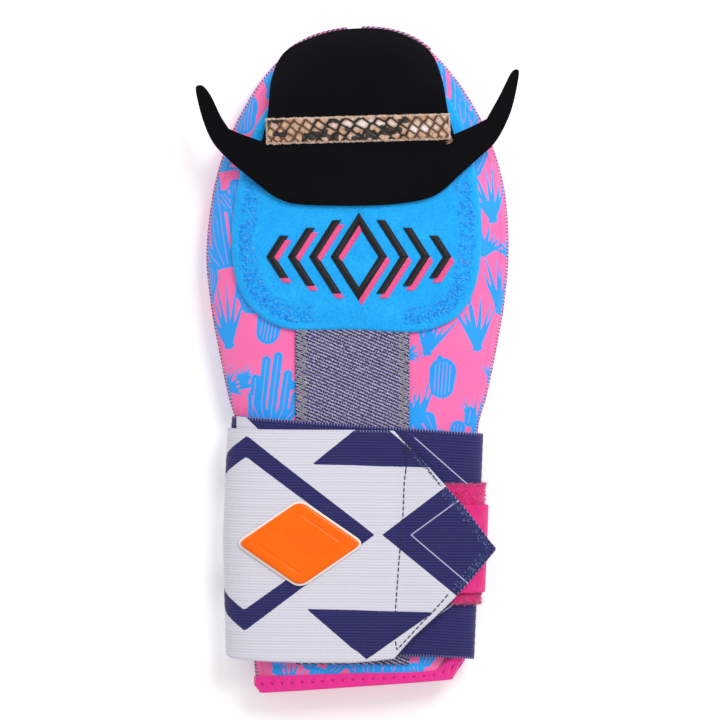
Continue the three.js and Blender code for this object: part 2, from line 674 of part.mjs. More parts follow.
for (const [sideName, side] of [["left", -1], ["right", 1]]) {
  for (let number = 1; number <= ORNAMENT.chevrons; number++) {
    addPiece(`stitched_chevron_${sideName}_${number}`, stitchedChevron(side, number), MATERIALS.thread);
  }
}

export default mitt;
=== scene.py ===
"""A baseball sliding mitt lying palm down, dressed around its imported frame. Shapes are worked out in mm."""

import bpy
import numpy as np
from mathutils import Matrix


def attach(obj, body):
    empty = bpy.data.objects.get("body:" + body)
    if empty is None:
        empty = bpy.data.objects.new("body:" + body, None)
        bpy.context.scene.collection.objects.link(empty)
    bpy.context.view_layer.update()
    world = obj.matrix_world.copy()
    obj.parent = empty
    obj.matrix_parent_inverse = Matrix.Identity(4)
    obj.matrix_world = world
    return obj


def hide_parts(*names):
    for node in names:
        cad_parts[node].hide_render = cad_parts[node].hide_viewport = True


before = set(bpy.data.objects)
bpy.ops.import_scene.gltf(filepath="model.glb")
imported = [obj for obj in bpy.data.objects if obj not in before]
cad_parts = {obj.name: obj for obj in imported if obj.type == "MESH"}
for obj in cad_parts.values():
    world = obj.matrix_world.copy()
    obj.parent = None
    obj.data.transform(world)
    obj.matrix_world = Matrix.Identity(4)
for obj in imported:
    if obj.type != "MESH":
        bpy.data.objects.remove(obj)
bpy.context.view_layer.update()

# Back of the hand.
# Two layers of soft closed-cell foam with a printed nylon jersey face, cut to the shape of a hand in a
# mitten. The panel is domed over the hand, rolls down to the seam all round and is open at the wrist.
MM = 0.001
GAP = 0.3
WALL = 3.2
TIP_Y = 143
BACK_ROLL = 22
SEAM_ROLL = 2.6
RIM_ROUNDING = 0.4
CROWN = 0.1
MOUTH_Y = -142.8
MOUTH_SLANT = 0.07
MOUTH_REACH = 70
LOWEST_Y = -175
ROUND_END_Y = 97
LAST_LEVEL = 142.7
BACK_PRINT = 11
PLANT_PITCH = (22.5, 18.5)
OUTLINE = np.array([
    [-150, 0, 40.5], [-132, 0, 42.3], [-80, 0, 46.5], [-29, 0, 50.2], [-15, 0, 54], [8, 0, 58.7],
    [24, 0, 61.5], [46, 0, 63.5], [70, 0.6, 61.8], [86, 0.8, 58.2], [100, 0.8, 53], [112, 0.8, 46.8],
    [122, 0.8, 40.2], [130, 1, 33.3], [136, 1.5, 26.2], [140, 2.4, 18.5], [TIP_Y, 4, 0],
])  # place along the hand, centre and half width
HEIGHTS = np.array([
    [-150, 11.5, 7.6, 7.3], [-132, 11.5, 7.6, 7.4], [-30, 11.5, 9.4, 7.8], [-2, 11.5, 11.4, 10.6],
    [24, 11.5, 13.4, 12], [70, 11.3, 13.2, 12], [110, 10.5, 11.6, 11], [TIP_Y, 9.6, 9.6, 10],
])  # place along the hand, height of the seam, rise of the back and drop of the palm


def along(places, values, at):
    """Smooth curve through the values: a cubic between each two, whose slope is that of their neighbours."""
    at = np.asarray(at, float)
    slopes = np.gradient(values)
    slopes[1:-1] = (values[2:] - values[:-2]) / (places[2:] - places[:-2])
    slopes[0] = (values[1] - values[0]) / (places[1] - places[0])
    slopes[-1] = (values[-1] - values[-2]) / (places[-1] - places[-2])
    k = np.clip(np.searchsorted(places, at, side="left") - 1, 0, len(places) - 2)
    span = places[k + 1] - places[k]
    t = np.clip((at - places[k]) / span, 0, 1)
    start, end = 2 * t**3 - 3 * t**2 + 1, 3 * t**2 - 2 * t**3
    return (
        start * values[k] + end * values[k + 1]
        + span * ((t**3 - 2 * t**2 + t) * slopes[k] + (t**3 - t**2) * slopes[k + 1])
    )


def smoothstep(value, low, high):
    """0 below low, 1 above high, and an S curve between them."""
    t = np.clip((value - low) / (high - low), 0, 1)
    return t * t * (3 - 2 * t)


def half_width(y):
    """The half width is carried by its square, so that the fingertip end is round."""
    return np.sqrt(np.maximum(along(OUTLINE[:, 0], OUTLINE[:, 2] ** 2, y), 0))


def centre_line(y):
    """Place across of the outline's middle line, by the smooth curve."""
    return along(OUTLINE[:, 0], OUTLINE[:, 1], y)


def seam_height(y):
    """Height of the seam, by the smooth curve."""
    return along(HEIGHTS[:, 0], HEIGHTS[:, 1], y)


def line_distance(x, y, line):
    """Distance from each point to a line of points: the least of those to the line's straight parts."""
    nearest = np.full(np.broadcast(x, y).shape, np.inf)
    for (ax, ay), (bx, by) in zip(line[:-1], line[1:]):
        dx, dy = bx - ax, by - ay
        t = np.clip(((x - ax) * dx + (y - ay) * dy) / (dx * dx + dy * dy + 1e-12), 0, 1)
        nearest = np.minimum(nearest, (x - ax - t * dx) ** 2 + (y - ay - t * dy) ** 2)
    return np.sqrt(nearest)


side_levels = LOWEST_Y + (TIP_Y - LOWEST_Y) * np.sin(np.linspace(0, np.pi / 2, 91))
outline_line = np.concatenate([
    np.stack([centre_line(side_levels) - half_width(side_levels), side_levels], 1),
    np.stack([centre_line(side_levels) + half_width(side_levels), side_levels], 1)[-2::-1],
])


def inside(x, y):
    """Distance inwards from the outline of the hand, below zero outside it."""
    within = (y < TIP_Y) & (np.abs(x - centre_line(y)) < half_width(y))
    return np.where(within, 1, -1) * line_distance(x, y, outline_line)


def roll(share):
    """Quarter of an ellipse: 0 at the edge, 1 from one roll width inwards."""
    return np.sqrt(1 - (1 - np.clip(share, 0, 1)) ** 2)


def slack(x, y):
    """Shallow waves of foam that lies empty: two crossed sine waves, a third of a millimetre high."""
    return 0.32 * np.sin(x / 8.5 + y / 19) * np.sin(y / 12.5 - x / 27)


def back_height(x, y, inset=0):
    """Height of the back: the seam, and a rise that falls off towards the sides. It rolls in from the
    seam's outer side, beyond the panel's own edge, which has a small rounding of its own."""
    across = np.clip((x - centre_line(y)) / np.maximum(half_width(y), 1), -1, 1)
    depth = inside(x, y) - inset
    share = (depth + SEAM_ROLL) / (BACK_ROLL - inset + SEAM_ROLL)
    rise = (along(HEIGHTS[:, 0], HEIGHTS[:, 2], y) - inset) * roll(depth / RIM_ROUNDING)
    waves = slack(x, y) * np.clip(depth / BACK_ROLL, 0, 1)
    return seam_height(y) + GAP / 2 + rise * roll(share) * (1 - CROWN * across**2) + waves


def edge_of(y, inset, side):
    """Where the line that lies an inset inside the outline crosses a level, found by halving."""
    near, far = np.zeros_like(y), half_width(y)
    for _ in range(22):
        middle = (near + far) / 2
        within = inside(centre_line(y) + side * middle, y) > inset
        near, far = np.where(within, middle, near), np.where(within, far, middle)
    return centre_line(y) + side * far


def panel_surface(level, share, height, inset, rim):
    """Surface of a panel over levels along the hand and shares across it, from edge to edge of the outline.
    The inner face's fingertip end is drawn in by the wall, and the mouth end is slanted."""
    shrink = (TIP_Y - ROUND_END_Y - inset) / (TIP_Y - ROUND_END_Y)
    level = np.where(level > ROUND_END_Y, ROUND_END_Y + (level - ROUND_END_Y) * shrink, level)
    left, right = edge_of(level, inset, -1), edge_of(level, inset, 1)
    x = left + (right - left) * share
    y = np.broadcast_to(level, x.shape)
    on_edge = (share * (1 - share) < 1e-9) | (level > TIP_Y - inset - 0.2)
    z = np.where(on_edge, seam_height(y) + rim, height(x, y, inset))
    slant = MOUTH_SLANT * np.clip(1 - (level - MOUTH_Y) / MOUTH_REACH, 0, 1) ** 2
    return np.stack([x, y + slant * x, z], -1)


def eased(count):
    """Shares from 0 to 1 that lie closer together at both ends, by a cosine."""
    return (1 - np.cos(np.linspace(0, np.pi, count))) / 2


def grid_faces(rows, columns, round_rows=False, round_columns=False):
    """The four corners of every cell of a grid, row by row, closed on itself where it is round."""
    j = np.arange(rows - (not round_rows))[:, None]
    i = np.arange(columns - (not round_columns))[None, :]
    corners = [(j, i), (j, i + 1), (j + 1, i + 1), (j + 1, i)]
    return np.stack([(a % rows) * columns + b % columns for a, b in corners], -1).reshape(-1, 4)


def outwards(corners, face_sets):
    """The faces, turned so that they point out of the solid. The sign of its volume, the sum of the pyramids
    from its first corner to its faces, says which way they point."""
    near = corners - corners[0]
    volume = sum(
        np.einsum("ij,ij->", near[f[:, 0]], np.cross(near[f[:, k]], near[f[:, k + 1]]))
        for f in face_sets for k in range(1, f.shape[1] - 1)
    )
    return [f[:, ::-1] for f in face_sets] if volume < 0 else face_sets


def mesh_piece(name, parts, marks=None):
    """Mesh object from closed parts: each has corners in mm and sets of faces with equally many corners."""
    first = np.cumsum([0] + [len(corners) for corners, _ in parts])
    face_sets = [f + start for (c, faces), start in zip(parts, first) for f in outwards(c, faces)]
    corners = np.concatenate([corners for corners, _ in parts])
    loops = np.concatenate([f.ravel() for f in face_sets]).astype(np.int32)
    sizes = np.concatenate([np.full(len(f), f.shape[1]) for f in face_sets])
    starts = np.concatenate([[0], np.cumsum(sizes)[:-1]]).astype(np.int32)
    mesh = bpy.data.meshes.new(name)
    mesh.vertices.add(len(corners))
    mesh.vertices.foreach_set("co", (corners * MM).astype(np.float32).ravel())
    mesh.loops.add(len(loops))
    mesh.loops.foreach_set("vertex_index", loops)
    mesh.polygons.add(len(starts))
    mesh.polygons.foreach_set("loop_start", starts)
    mesh.polygons.foreach_set("use_smooth", np.ones(len(starts), bool))
    for mark, values in (marks or {}).items():
        attribute = mesh.attributes.new(mark, "FLOAT", "POINT")
        attribute.data.foreach_set("value", np.asarray(values, np.float32).ravel())
    mesh.update(calc_edges=True)
    mesh.validate()
    piece = bpy.data.objects.new(name, mesh)
    bpy.context.scene.collection.objects.link(piece)
    return piece


def wall_between(outer, inner):
    """Closed wall between two grids of points with as many rows: both faces and the rim that joins them."""
    rows, columns = outer.shape[:2]
    inner_columns = inner.shape[1]
    count = rows * columns
    faces = [grid_faces(rows, columns), count + grid_faces(rows, inner_columns)[:, ::-1]]
    row = np.arange(rows)
    for column, inner_column, turned in ((0, 0, 1), (columns - 1, inner_columns - 1, -1)):
        out, inn = row * columns + column, count + row * inner_columns + inner_column
        faces.append(np.stack([out[:-1], out[1:], inn[1:], inn[:-1]], 1)[:, ::turned])
    for k, turned in ((0, -1), (rows - 1, 1)):
        out, inn = k * columns + np.arange(columns), count + k * inner_columns + np.arange(inner_columns)
        if columns == inner_columns:
            faces.append(np.stack([out[:-1], out[1:], inn[1:], inn[:-1]], 1)[:, ::turned])
        else:
            faces.append(np.concatenate([out, inn[::-1]])[None, ::turned])
    return np.concatenate([outer.reshape(-1, 3), inner.reshape(-1, 3)]), faces


def shell(name, outer, inner, marks=None):
    """Mesh object of one wall. Marks are values on its outer grid. The inner one gets the least of each."""
    filled = {
        mark: np.concatenate([values.ravel(), np.full(inner[..., 0].size, values.min())])
        for mark, values in (marks or {}).items()
    }
    return mesh_piece(name, [wall_between(outer, inner)], filled)


def rough(x, y, size, seed):
    """Smooth unevenness, mostly between -1 and 1: a fifth of the sum of 16 waves, each about one size long,
    that run in many directions."""
    random = np.random.default_rng(seed)
    total = np.zeros(np.broadcast(x, y).shape)
    for _ in range(16):
        way, phase = random.uniform(0, 2 * np.pi, 2)
        length = size * random.uniform(0.75, 1.35)
        total += np.sin((x * np.cos(way) + y * np.sin(way)) * 2 * np.pi / length + phase)
    return total / 5


def plant_strokes(kind, random):
    """Brush strokes of one desert plant round its foot: both ends' places and widths, in mm."""
    if kind == "organ pipe":
        place = np.linspace(-7, 7, 5) + random.uniform(-0.5, 0.5, 5)
        tall = np.array([13, 19, 25, 20, 12]) + random.uniform(-3, 3, 5)
        bend = np.stack([place * 0.45, 0 * place, place, 0 * place + 6], 1)
        pipes = np.stack([place, 0 * place + 6, place * 1.05, tall], 1)
        return np.hstack([np.vstack([bend, pipes]), np.full((10, 2), 1.45)])
    if kind == "paddle":
        return np.array([
            [0, 0, 0, 4, 2.6, 3.2], [-3.5, 8, -5, 11, 2.4, 2.7], [4, 7.5, 6, 10.5, 2.2, 2.6],
            [0, 11, 0.5, 14, 2, 2.4], [-7.5, 14.5, -8.5, 17, 1.6, 2], [4, 16, 4.5, 18.5, 1.5, 1.9],
        ])
    if kind == "barrel":
        return np.array([[-0.5, 2, 0.5, 7, 4.2, 4.8], [0, 12, 0, 12.4, 1.1, 0.7]])
    count, length, width, low, high = {
        "agave": (9, 11, 1.25, 12, 168), "yucca": (12, 8, 0.8, -15, 195), "grass": (7, 7, 0.55, 50, 130),
        "ocotillo": (7, 18, 0.95, 60, 120),
    }[kind]
    way = np.radians(np.linspace(low, high, count) + random.uniform(-4, 4, count))
    reach = length * random.uniform(0.8, 1.1, count)
    foot = 10.0 if kind == "yucca" else 0.0
    zero = np.zeros(count)
    spikes = [zero, zero + foot, reach * np.cos(way), foot + reach * np.sin(way), zero + width, zero + 0.1]
    trunk = [[0, 0, 0, 10, 1.3, 1.1]] if kind == "yucca" else [[-1.2, 0, 1.2, 0, 0.6, 0.6]]
    return np.vstack([np.stack(spikes, 1), trunk])


def plant_print(x, y, seed):
    """How deep each point lies in a print of desert plants, and how far it lies beside its stroke's middle
    line. A stroke's depth is its width at the nearest place of its line, less the distance to there. The
    plants stand in staggered rows, each moved, turned and sized a little by chance."""
    random = np.random.default_rng(seed)
    depth, beside = np.full(x.shape, -9.0), np.zeros(x.shape)
    kinds = ["organ pipe", "agave", "paddle", "organ pipe", "yucca", "barrel", "grass", "ocotillo"]
    order = random.permutation(200)
    places = [
        (px + (11 if j % 2 else 0), py)
        for j, py in enumerate(np.arange(-160, 150, PLANT_PITCH[1]))
        for px in np.arange(-94, 94, PLANT_PITCH[0])
    ]
    for (px, py), number in zip(places, order):
        strokes = plant_strokes(kinds[number % len(kinds)], random)
        size = random.uniform(1.05, 1.5)
        lean = np.radians(random.uniform(-14, 14))
        px, py = px + random.uniform(-4, 4), py + random.uniform(-4, 4)
        near = (np.abs(x - px) < 42) & (np.abs(y - py) < 50)
        if not near.any():
            continue
        nx, ny = (x[near] - px) / size, (y[near] - py) / size
        nx, ny = nx * np.cos(lean) - ny * np.sin(lean), nx * np.sin(lean) + ny * np.cos(lean)
        best, side = depth[near], beside[near]
        for ax, ay, bx, by, start, end in strokes:
            dx, dy = bx - ax, by - ay
            t = np.clip(((nx - ax) * dx + (ny - ay) * dy) / (dx * dx + dy * dy), 0, 1)
            away = np.hypot(nx - ax - t * dx, ny - ay - t * dy)
            deep = (start + t * (end - start) - away) * size
            offset = ((ny - ay) * dx - (nx - ax) * dy) / np.hypot(dx, dy) * size
            side = np.where(deep > best, offset, side)
            best = np.maximum(deep, best)
        depth[near], beside[near] = best, side
    return depth, beside


def across_cloth(surface):
    """Distance across the cloth from the middle line, along its own curve."""
    steps = np.linalg.norm(np.diff(surface, axis=1), axis=2)
    way = np.concatenate([np.zeros((len(surface), 1)), np.cumsum(steps, axis=1)], axis=1)
    return way - way[:, way.shape[1] // 2][:, None]


def linear(colour):
    """An sRGB colour such as "#FF70B0" as linear red, green, blue and alpha."""
    parts = np.array([int(colour[k:k + 2], 16) for k in (1, 3, 5)]) / 255
    parts = np.where(parts <= 0.04045, parts / 12.92, ((parts + 0.055) / 1.055) ** 2.4)
    return (*parts, 1)


def node(tree, kind, inputs=None, **settings):
    """Add a node with its settings, and give its sockets values or links. Returns its outputs."""
    made = tree.nodes.new("ShaderNode" + kind)
    for setting, value in settings.items():
        setattr(made, setting, value)
    for socket, value in (inputs or {}).items():
        if isinstance(value, bpy.types.NodeSocket):
            tree.links.new(value, made.inputs[socket])
        else:
            made.inputs[socket].default_value = value
    return made.outputs


def start_material(name, roughness, sheen=0.0, gloss=0.25):
    """A new material, its node tree, its shader, and its surface position in mm. Gloss is the specular
    level: cloth has little, because light is caught between its fibres."""
    material = bpy.data.materials.new(name)
    material.use_nodes = True
    tree = material.node_tree
    shader = tree.nodes["Principled BSDF"]
    shader.inputs["Roughness"].default_value = roughness
    shader.inputs["Sheen Weight"].default_value = sheen
    shader.inputs["Specular IOR Level"].default_value = gloss
    place = node(tree, "TexCoord")["Object"]
    place = node(tree, "VectorMath", {0: place, 1: (1000, 1000, 1000)}, operation="MULTIPLY")[0]
    return material, tree, shader, place


# Printed nylon jersey on neoprene foam: matt and fine. The dye shifts a little in tone and the plants are
# printed in blue with thin ribs left pink. The knit is 0.3 mm in fact and drawn at 0.6 mm.
neoprene, tree, shader, place = start_material("printed_nylon_jersey", 0.62, 0.15)
depth = node(tree, "Attribute", attribute_name="print_depth")["Fac"]
beside = node(tree, "Attribute", attribute_name="print_beside")["Fac"]
fray = node(tree, "TexNoise", {"Vector": place, "Scale": 1.6, "Detail": 2})["Fac"]
edge = node(tree, "Math", {0: fray, 1: 0.3, 2: depth}, operation="MULTIPLY_ADD")[0]
body = node(tree, "MapRange", {0: edge, 1: 0.05, 2: 0.25}, interpolation_type="SMOOTHSTEP")[0]
rib = node(tree, "Math", {0: beside, 1: 0.8}, operation="PINGPONG")[0]
rib_line = node(tree, "MapRange", {0: rib, 1: 0.1, 2: 0.2, 3: 1.0, 4: 0.0})[0]
deep = node(tree, "MapRange", {0: depth, 1: 1.3, 2: 1.6})[0]
ribbed = node(tree, "Math", {0: rib_line, 1: deep}, operation="MULTIPLY")[0]
ribbed = node(tree, "Math", {0: ribbed, 1: 0.55}, operation="MULTIPLY")[0]
ink = node(tree, "Math", {0: body, 1: ribbed}, operation="SUBTRACT", use_clamp=True)[0]
tone = node(tree, "TexNoise", {"Vector": place, "Scale": 0.045, "Detail": 3})["Fac"]
pink = node(tree, "Mix", {0: tone, 6: linear("#FF64A9"), 7: linear("#FF80BC")}, data_type="RGBA")[2]
blue = node(tree, "Mix", {0: tone, 6: linear("#1C98F4"), 7: linear("#2BAAFF")}, data_type="RGBA")[2]
knit = node(tree, "TexNoise", {"Vector": place, "Scale": 1.7, "Detail": 1})["Fac"]
cloth = node(tree, "Mix", {0: ink, 6: pink, 7: blue}, data_type="RGBA")[2]
shade = node(tree, "MapRange", {0: knit, 1: 0.3, 2: 0.7, 3: 0.94, 4: 1.0})[0]
cloth = node(tree, "Mix", {0: 1.0, 6: cloth, 7: shade}, data_type="RGBA", blend_type="MULTIPLY")[2]
tree.links.new(cloth, shader.inputs["Base Color"])
bump = node(tree, "Bump", {"Height": knit, "Distance": 0.00006, "Strength": 0.6})[0]
tree.links.new(bump, shader.inputs["Normal"])

# Fine rows where the back shows, coarse ones below the strap.
level = np.concatenate([
    np.arange(MOUTH_Y, -128, 0.9), np.arange(-128, -36, 3), np.arange(-36, 96, 0.75),
    np.arange(96, 130, 1.2), np.arange(130, LAST_LEVEL, 0.6), [LAST_LEVEL],
])[:, None]
share = eased(149)[None, :]
back_outer = panel_surface(level, share, back_height, 0, GAP / 2)
back_inner = panel_surface(level, share, back_height, WALL, GAP / 2)
depth, beside = plant_print(across_cloth(back_outer), back_outer[:, :, 1], BACK_PRINT)
back = shell("neoprene_back", back_outer, back_inner, {"print_depth": depth, "print_beside": beside})
back.data.materials.append(neoprene)
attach(back, "root")
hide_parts("back_panel")

# Palm.
# The same foam and jersey below the hand. It mirrors the back, and is pressed flat where the mitt lies on it.
# It can't be seen from above, so it has the same print with nothing sewn on it.
PALM_ROLL = 18
PALM_PRINT = 23


def palm_height(x, y, inset=0):
    """Height of the palm: the seam, less a drop that rolls in from the edge, and never below the floor."""
    share = (inside(x, y) - inset) / (PALM_ROLL - inset)
    drop = along(HEIGHTS[:, 0], HEIGHTS[:, 3], y) - inset
    return np.maximum(seam_height(y) - GAP / 2 - drop * roll(share), inset)


level = [np.arange(MOUTH_Y, 130, 1.6), np.arange(130, LAST_LEVEL, 0.9), [LAST_LEVEL]]
level = np.concatenate(level)[:, None]
share = eased(115)[None, :]
palm_outer = panel_surface(level, share, palm_height, 0, -GAP / 2)
palm_inner = panel_surface(level, share, palm_height, WALL, -GAP / 2)
depth, beside = plant_print(across_cloth(palm_outer), palm_outer[:, :, 1], PALM_PRINT)
palm = shell("neoprene_palm", palm_outer, palm_inner, {"print_depth": depth, "print_beside": beside})
palm.data.materials.append(neoprene)
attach(palm, "root")
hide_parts("palm_panel")

# Overlocked edge.
# Both panels' edges are trimmed and sewn over by an overlock machine, whose polyester threads twist round the
# outside. The seam runs up the left side, over the fingertips and down the right side.
SEAM_WIDTH = 3
SEAM_HEIGHT = 3.8
SEAM_ENDS = (-140.8, -126)
STITCH_PITCH = 1.5
ROPE_LEAD = 2 * STITCH_PITCH
CHAIN_LEAD = 2.1
RIM_COLUMNS = (6, -7)


def way_along(line):
    """Distance along a line of points, at each of them."""
    return np.concatenate([[0], np.cumsum(np.linalg.norm(np.diff(line, axis=0), axis=1))])


def walk(line, distance):
    """Points at those distances along a line of points, by straight interpolation between them."""
    way = way_along(line)
    return np.stack([np.interp(distance, way, line[:, k]) for k in range(line.shape[1])], -1)


def unit(vectors):
    """Each vector divided by its length."""
    return vectors / np.maximum(np.linalg.norm(vectors, axis=-1, keepdims=True), 1e-9)


def sweep(paths, sides, profile):
    """Corners and faces of profiles carried along paths: each point, plus the profile's two numbers times the
    two directions across the path, one given and one square to it and the path."""
    count, points = paths.shape[:2]
    tangent = unit(np.gradient(paths, axis=1))
    sides = unit(sides - tangent * np.sum(sides * tangent, -1, keepdims=True))
    upward = np.cross(sides, tangent)
    ring = profile.shape[-2]
    profile = np.broadcast_to(profile, (count, points, ring, 2))
    corners = paths[:, :, None] + profile[..., :1] * sides[:, :, None] + profile[..., 1:] * upward[:, :, None]
    size = points * ring
    first = (np.arange(count) * size)[:, None, None]
    walls = (grid_faces(points, ring, round_columns=True)[None] + first).reshape(-1, 4)
    start = np.arange(ring)[None, ::-1] + first[:, 0]
    end = np.arange(ring)[None] + first[:, 0] + size - ring
    return corners.reshape(-1, 3), [walls, start, end]


def round_profile(radius, corners, points, blunt=0.55):
    """Ring of a thread at each of its points: a circle that narrows at both ends."""
    angle = np.linspace(0, 2 * np.pi, corners, endpoint=False)
    size = np.ones(points)
    size[[0, -1]] = blunt
    return radius * size[:, None, None] * np.stack([np.cos(angle), np.sin(angle)], -1)


def threads(name, paths, radius, corners=4, sides=None):
    """Many like threads in one mesh. Their rings start from the level direction across each path."""
    if sides is None:
        sides = np.cross(np.gradient(paths, axis=1), [0, 0, 1])
    return mesh_piece(name, [sweep(paths, sides, round_profile(radius, corners, paths.shape[1]))])


round_levels = TIP_Y - 13 * np.linspace(1, 0, 60)[1:] ** 2
edge_levels = np.concatenate([np.linspace(MOUTH_Y, 130, 240), round_levels])
edge_slant = MOUTH_SLANT * np.clip(1 - (edge_levels - MOUTH_Y) / MOUTH_REACH, 0, 1) ** 2
edge_sides = []
for side, end in ((-1, SEAM_ENDS[0]), (1, SEAM_ENDS[1])):
    x = centre_line(edge_levels) + side * half_width(edge_levels)
    y = edge_levels + edge_slant * x
    edge_sides.append(np.stack([x, y], 1)[y > end])
seam_line = np.concatenate([edge_sides[0], edge_sides[1][-2::-1]])
seam_length = way_along(seam_line)[-1]


def seam_frame(distance):
    """Point of the seam line at its height, the direction along it and the direction out of it."""
    point = walk(seam_line, distance)
    ahead = unit(walk(seam_line, distance + 0.8) - walk(seam_line, distance - 0.8))
    zero = np.zeros(len(point))
    out = np.stack([-ahead[:, 1], ahead[:, 0], zero], 1)
    level_point = np.concatenate([point, seam_height(point[:, 1])[:, None]], 1)
    return level_point, np.stack([ahead[:, 0], ahead[:, 1], zero], 1), out


def back_print_beside(x, y, beyond):
    """The print of the back carried on over its rim: sideways by the way round the seam from there. The rim
    is taken some columns in, above its small rounding."""
    ways = across_cloth(back_outer)
    left, right = (
        np.interp(y, back_outer[:, column, 1], ways[:, column]) + way * beyond
        for column, way in zip(RIM_COLUMNS, (-1, 1))
    )
    return plant_print(np.where(x > centre_line(y), right, left), y, BACK_PRINT)


def rolled_height(y, beyond):
    """Height of the back's roll above the seam, carried on beyond the panel's edge."""
    rise = along(HEIGHTS[:, 0], HEIGHTS[:, 2], y) * (1 - CROWN)
    return GAP / 2 + 0.04 + rise * roll((SEAM_ROLL - beyond) / (BACK_ROLL + SEAM_ROLL))


# Both panels' cloth meets in a flat roll, which goes on from the back's own and is pinched by the threads at
# its outer side. Its profile is given upside down, because sweep's second direction points down here.
distance = np.arange(0.9, seam_length - 0.9, 0.8)
point, ahead, out = seam_frame(distance)
core_top = np.array([-0.6, -0.3, 0.1, 0.6, 1.1, 1.5, 1.9, 2.2, 2.4, 2.52])
core_below = np.array([
    [2.55, -0.4], [2.2, -0.95], [1.6, -1.45], [0.9, -1.7], [0.3, -1.75], [0.12, -1.2], [0.12, 0.6],
])  # place outwards and height, below the top
core_across = np.concatenate([core_top, core_below[:, 0]])
top_up = rolled_height(point[:, 1:2], core_top)
below_up = np.broadcast_to(core_below[:, 1], (len(point), len(core_below)))
core_up = np.concatenate([top_up, below_up], 1)
profile = np.stack([np.broadcast_to(core_across, core_up.shape), -core_up], -1)
core_corners, core_faces = sweep(point[None], out[None], profile[None])
steps = np.hypot(np.diff(core_across, prepend=core_top[0]), np.diff(core_up, prepend=core_up[:, :1]))
beyond = np.clip(np.cumsum(steps, 1).ravel() - 0.5, -0.5, 8)
depth, beside = back_print_beside(core_corners[:, 0], core_corners[:, 1], beyond)
prints = {"print_depth": depth, "print_beside": beside}
core = mesh_piece("rolled_edge", [(core_corners, core_faces)], prints)
core.data.materials.append(neoprene)
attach(core, "root")
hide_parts("edge_overlock")

# The threads wind round the outer 2 mm like the strands of a rope: two pale ones, two dark ones. Every needle
# stitch pulls a short dark thread inwards over the roll.
rope_strands = []
distance = np.arange(1.2, seam_length - 1.2, ROPE_LEAD / 9)
point, ahead, out = seam_frame(distance)
for strand in range(4):
    angle = (distance / ROPE_LEAD * 2 * np.pi + strand * np.pi / 2)[:, None]
    reach = GAP + SEAM_WIDTH - 0.92 + 0.5 * np.cos(angle)
    rope_strands.append(point + out * reach - [0, 0, 0.8] * np.sin(angle))
pale_loops = threads("overlock_pale_threads", np.stack(rope_strands[::2]), 0.42, corners=6)
dark_loops = threads("overlock_dark_threads", np.stack(rope_strands[1::2]), 0.4, corners=6)
begin = np.arange(1.6, seam_length - 1.6, STITCH_PITCH)
legs = []
for reach, slip in ((2.45, 0), (2.1, 0.2), (1.6, 0.4)):
    point, ahead, out = seam_frame(begin + slip)
    legs.append(point + out * reach + [0, 0, 1] * rolled_height(point[:, 1:2], reach))
needle = threads("overlock_needle_threads", np.stack(legs, 1), 0.14)

# Over the fingertips a pale and a dark thread lie loose, twisted into a chain that stands out past the
# felt: more on the right.
over_tips = np.arange(0, seam_length, 0.2)
over_tips = over_tips[walk(seam_line, over_tips)[:, 1] > 120]
chain = []
for first_x, last_x, reach, wave in ((2, 30, 3.5, 0.42), (-28, -4, 3.8, 0.38)):
    ends = np.interp((first_x, last_x), walk(seam_line, over_tips)[:, 0], over_tips)
    distance = np.linspace(*ends, 200)
    point, ahead, out = seam_frame(distance)
    for phase in (0, np.pi):
        angle = (distance * 2 * np.pi / CHAIN_LEAD + phase)[:, None]
        outwards_by, upwards_by = reach + wave * np.sin(angle), 1.5 + 0.4 * np.cos(angle)
        chain.append(point + out * outwards_by + [0, 0, 1] * upwards_by)
pale_chain = threads("overlock_pale_chain", np.stack(chain[::2]), 0.38)
dark_chain = threads("overlock_dark_chain", np.stack(chain[1::2]), 0.3)

# Textured polyester overlock threads, matt and a little fluffy, twisted every 0.7 mm. Their tone shifts
# slowly along the seam.
for pieces, name, dark, bright in (
    ([pale_loops, pale_chain], "pale_overlock_thread", "#E29CC4", "#FBD6EC"),
    ([dark_loops, dark_chain, needle], "mauve_overlock_thread", "#6B2A58", "#B0588F"),
):
    overlock, tree, shader, place = start_material(name, 0.7, 0.15)
    lot = node(tree, "TexNoise", {"Vector": place, "Scale": 0.5, "Detail": 3})["Fac"]
    lot = node(tree, "MapRange", {0: lot, 1: 0.35, 2: 0.65})[0]
    thread = node(tree, "Mix", {0: lot, 6: linear(dark), 7: linear(bright)}, data_type="RGBA")[2]
    twist = node(tree, "TexNoise", {"Vector": place, "Scale": 3.0, "Detail": 1})["Fac"]
    tree.links.new(thread, shader.inputs["Base Color"])
    tree.links.new(node(tree, "Bump", {"Height": twist, "Distance": 0.0001})[0], shader.inputs["Normal"])
    for piece in pieces:
        piece.data.materials.append(overlock)
        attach(piece, "root")

# Wrist binding.
# A magenta knitted tape folded over the panels' raw walls all round the mouth and sewn down with a zigzag.
# At the right side it turns up where it closes off the overlocked edge.
BINDING_LEG = 4.7
BINDING_TAPE = GAP + 0.9
BINDING_CAP = 1.2
BINDING_FOLD = 2.6
CORNER_LEG = 12
CORNER_BULGE = 6.2
MARK_PITCH = 4.5
MARK_START = 2.5
RING_POINTS = 221


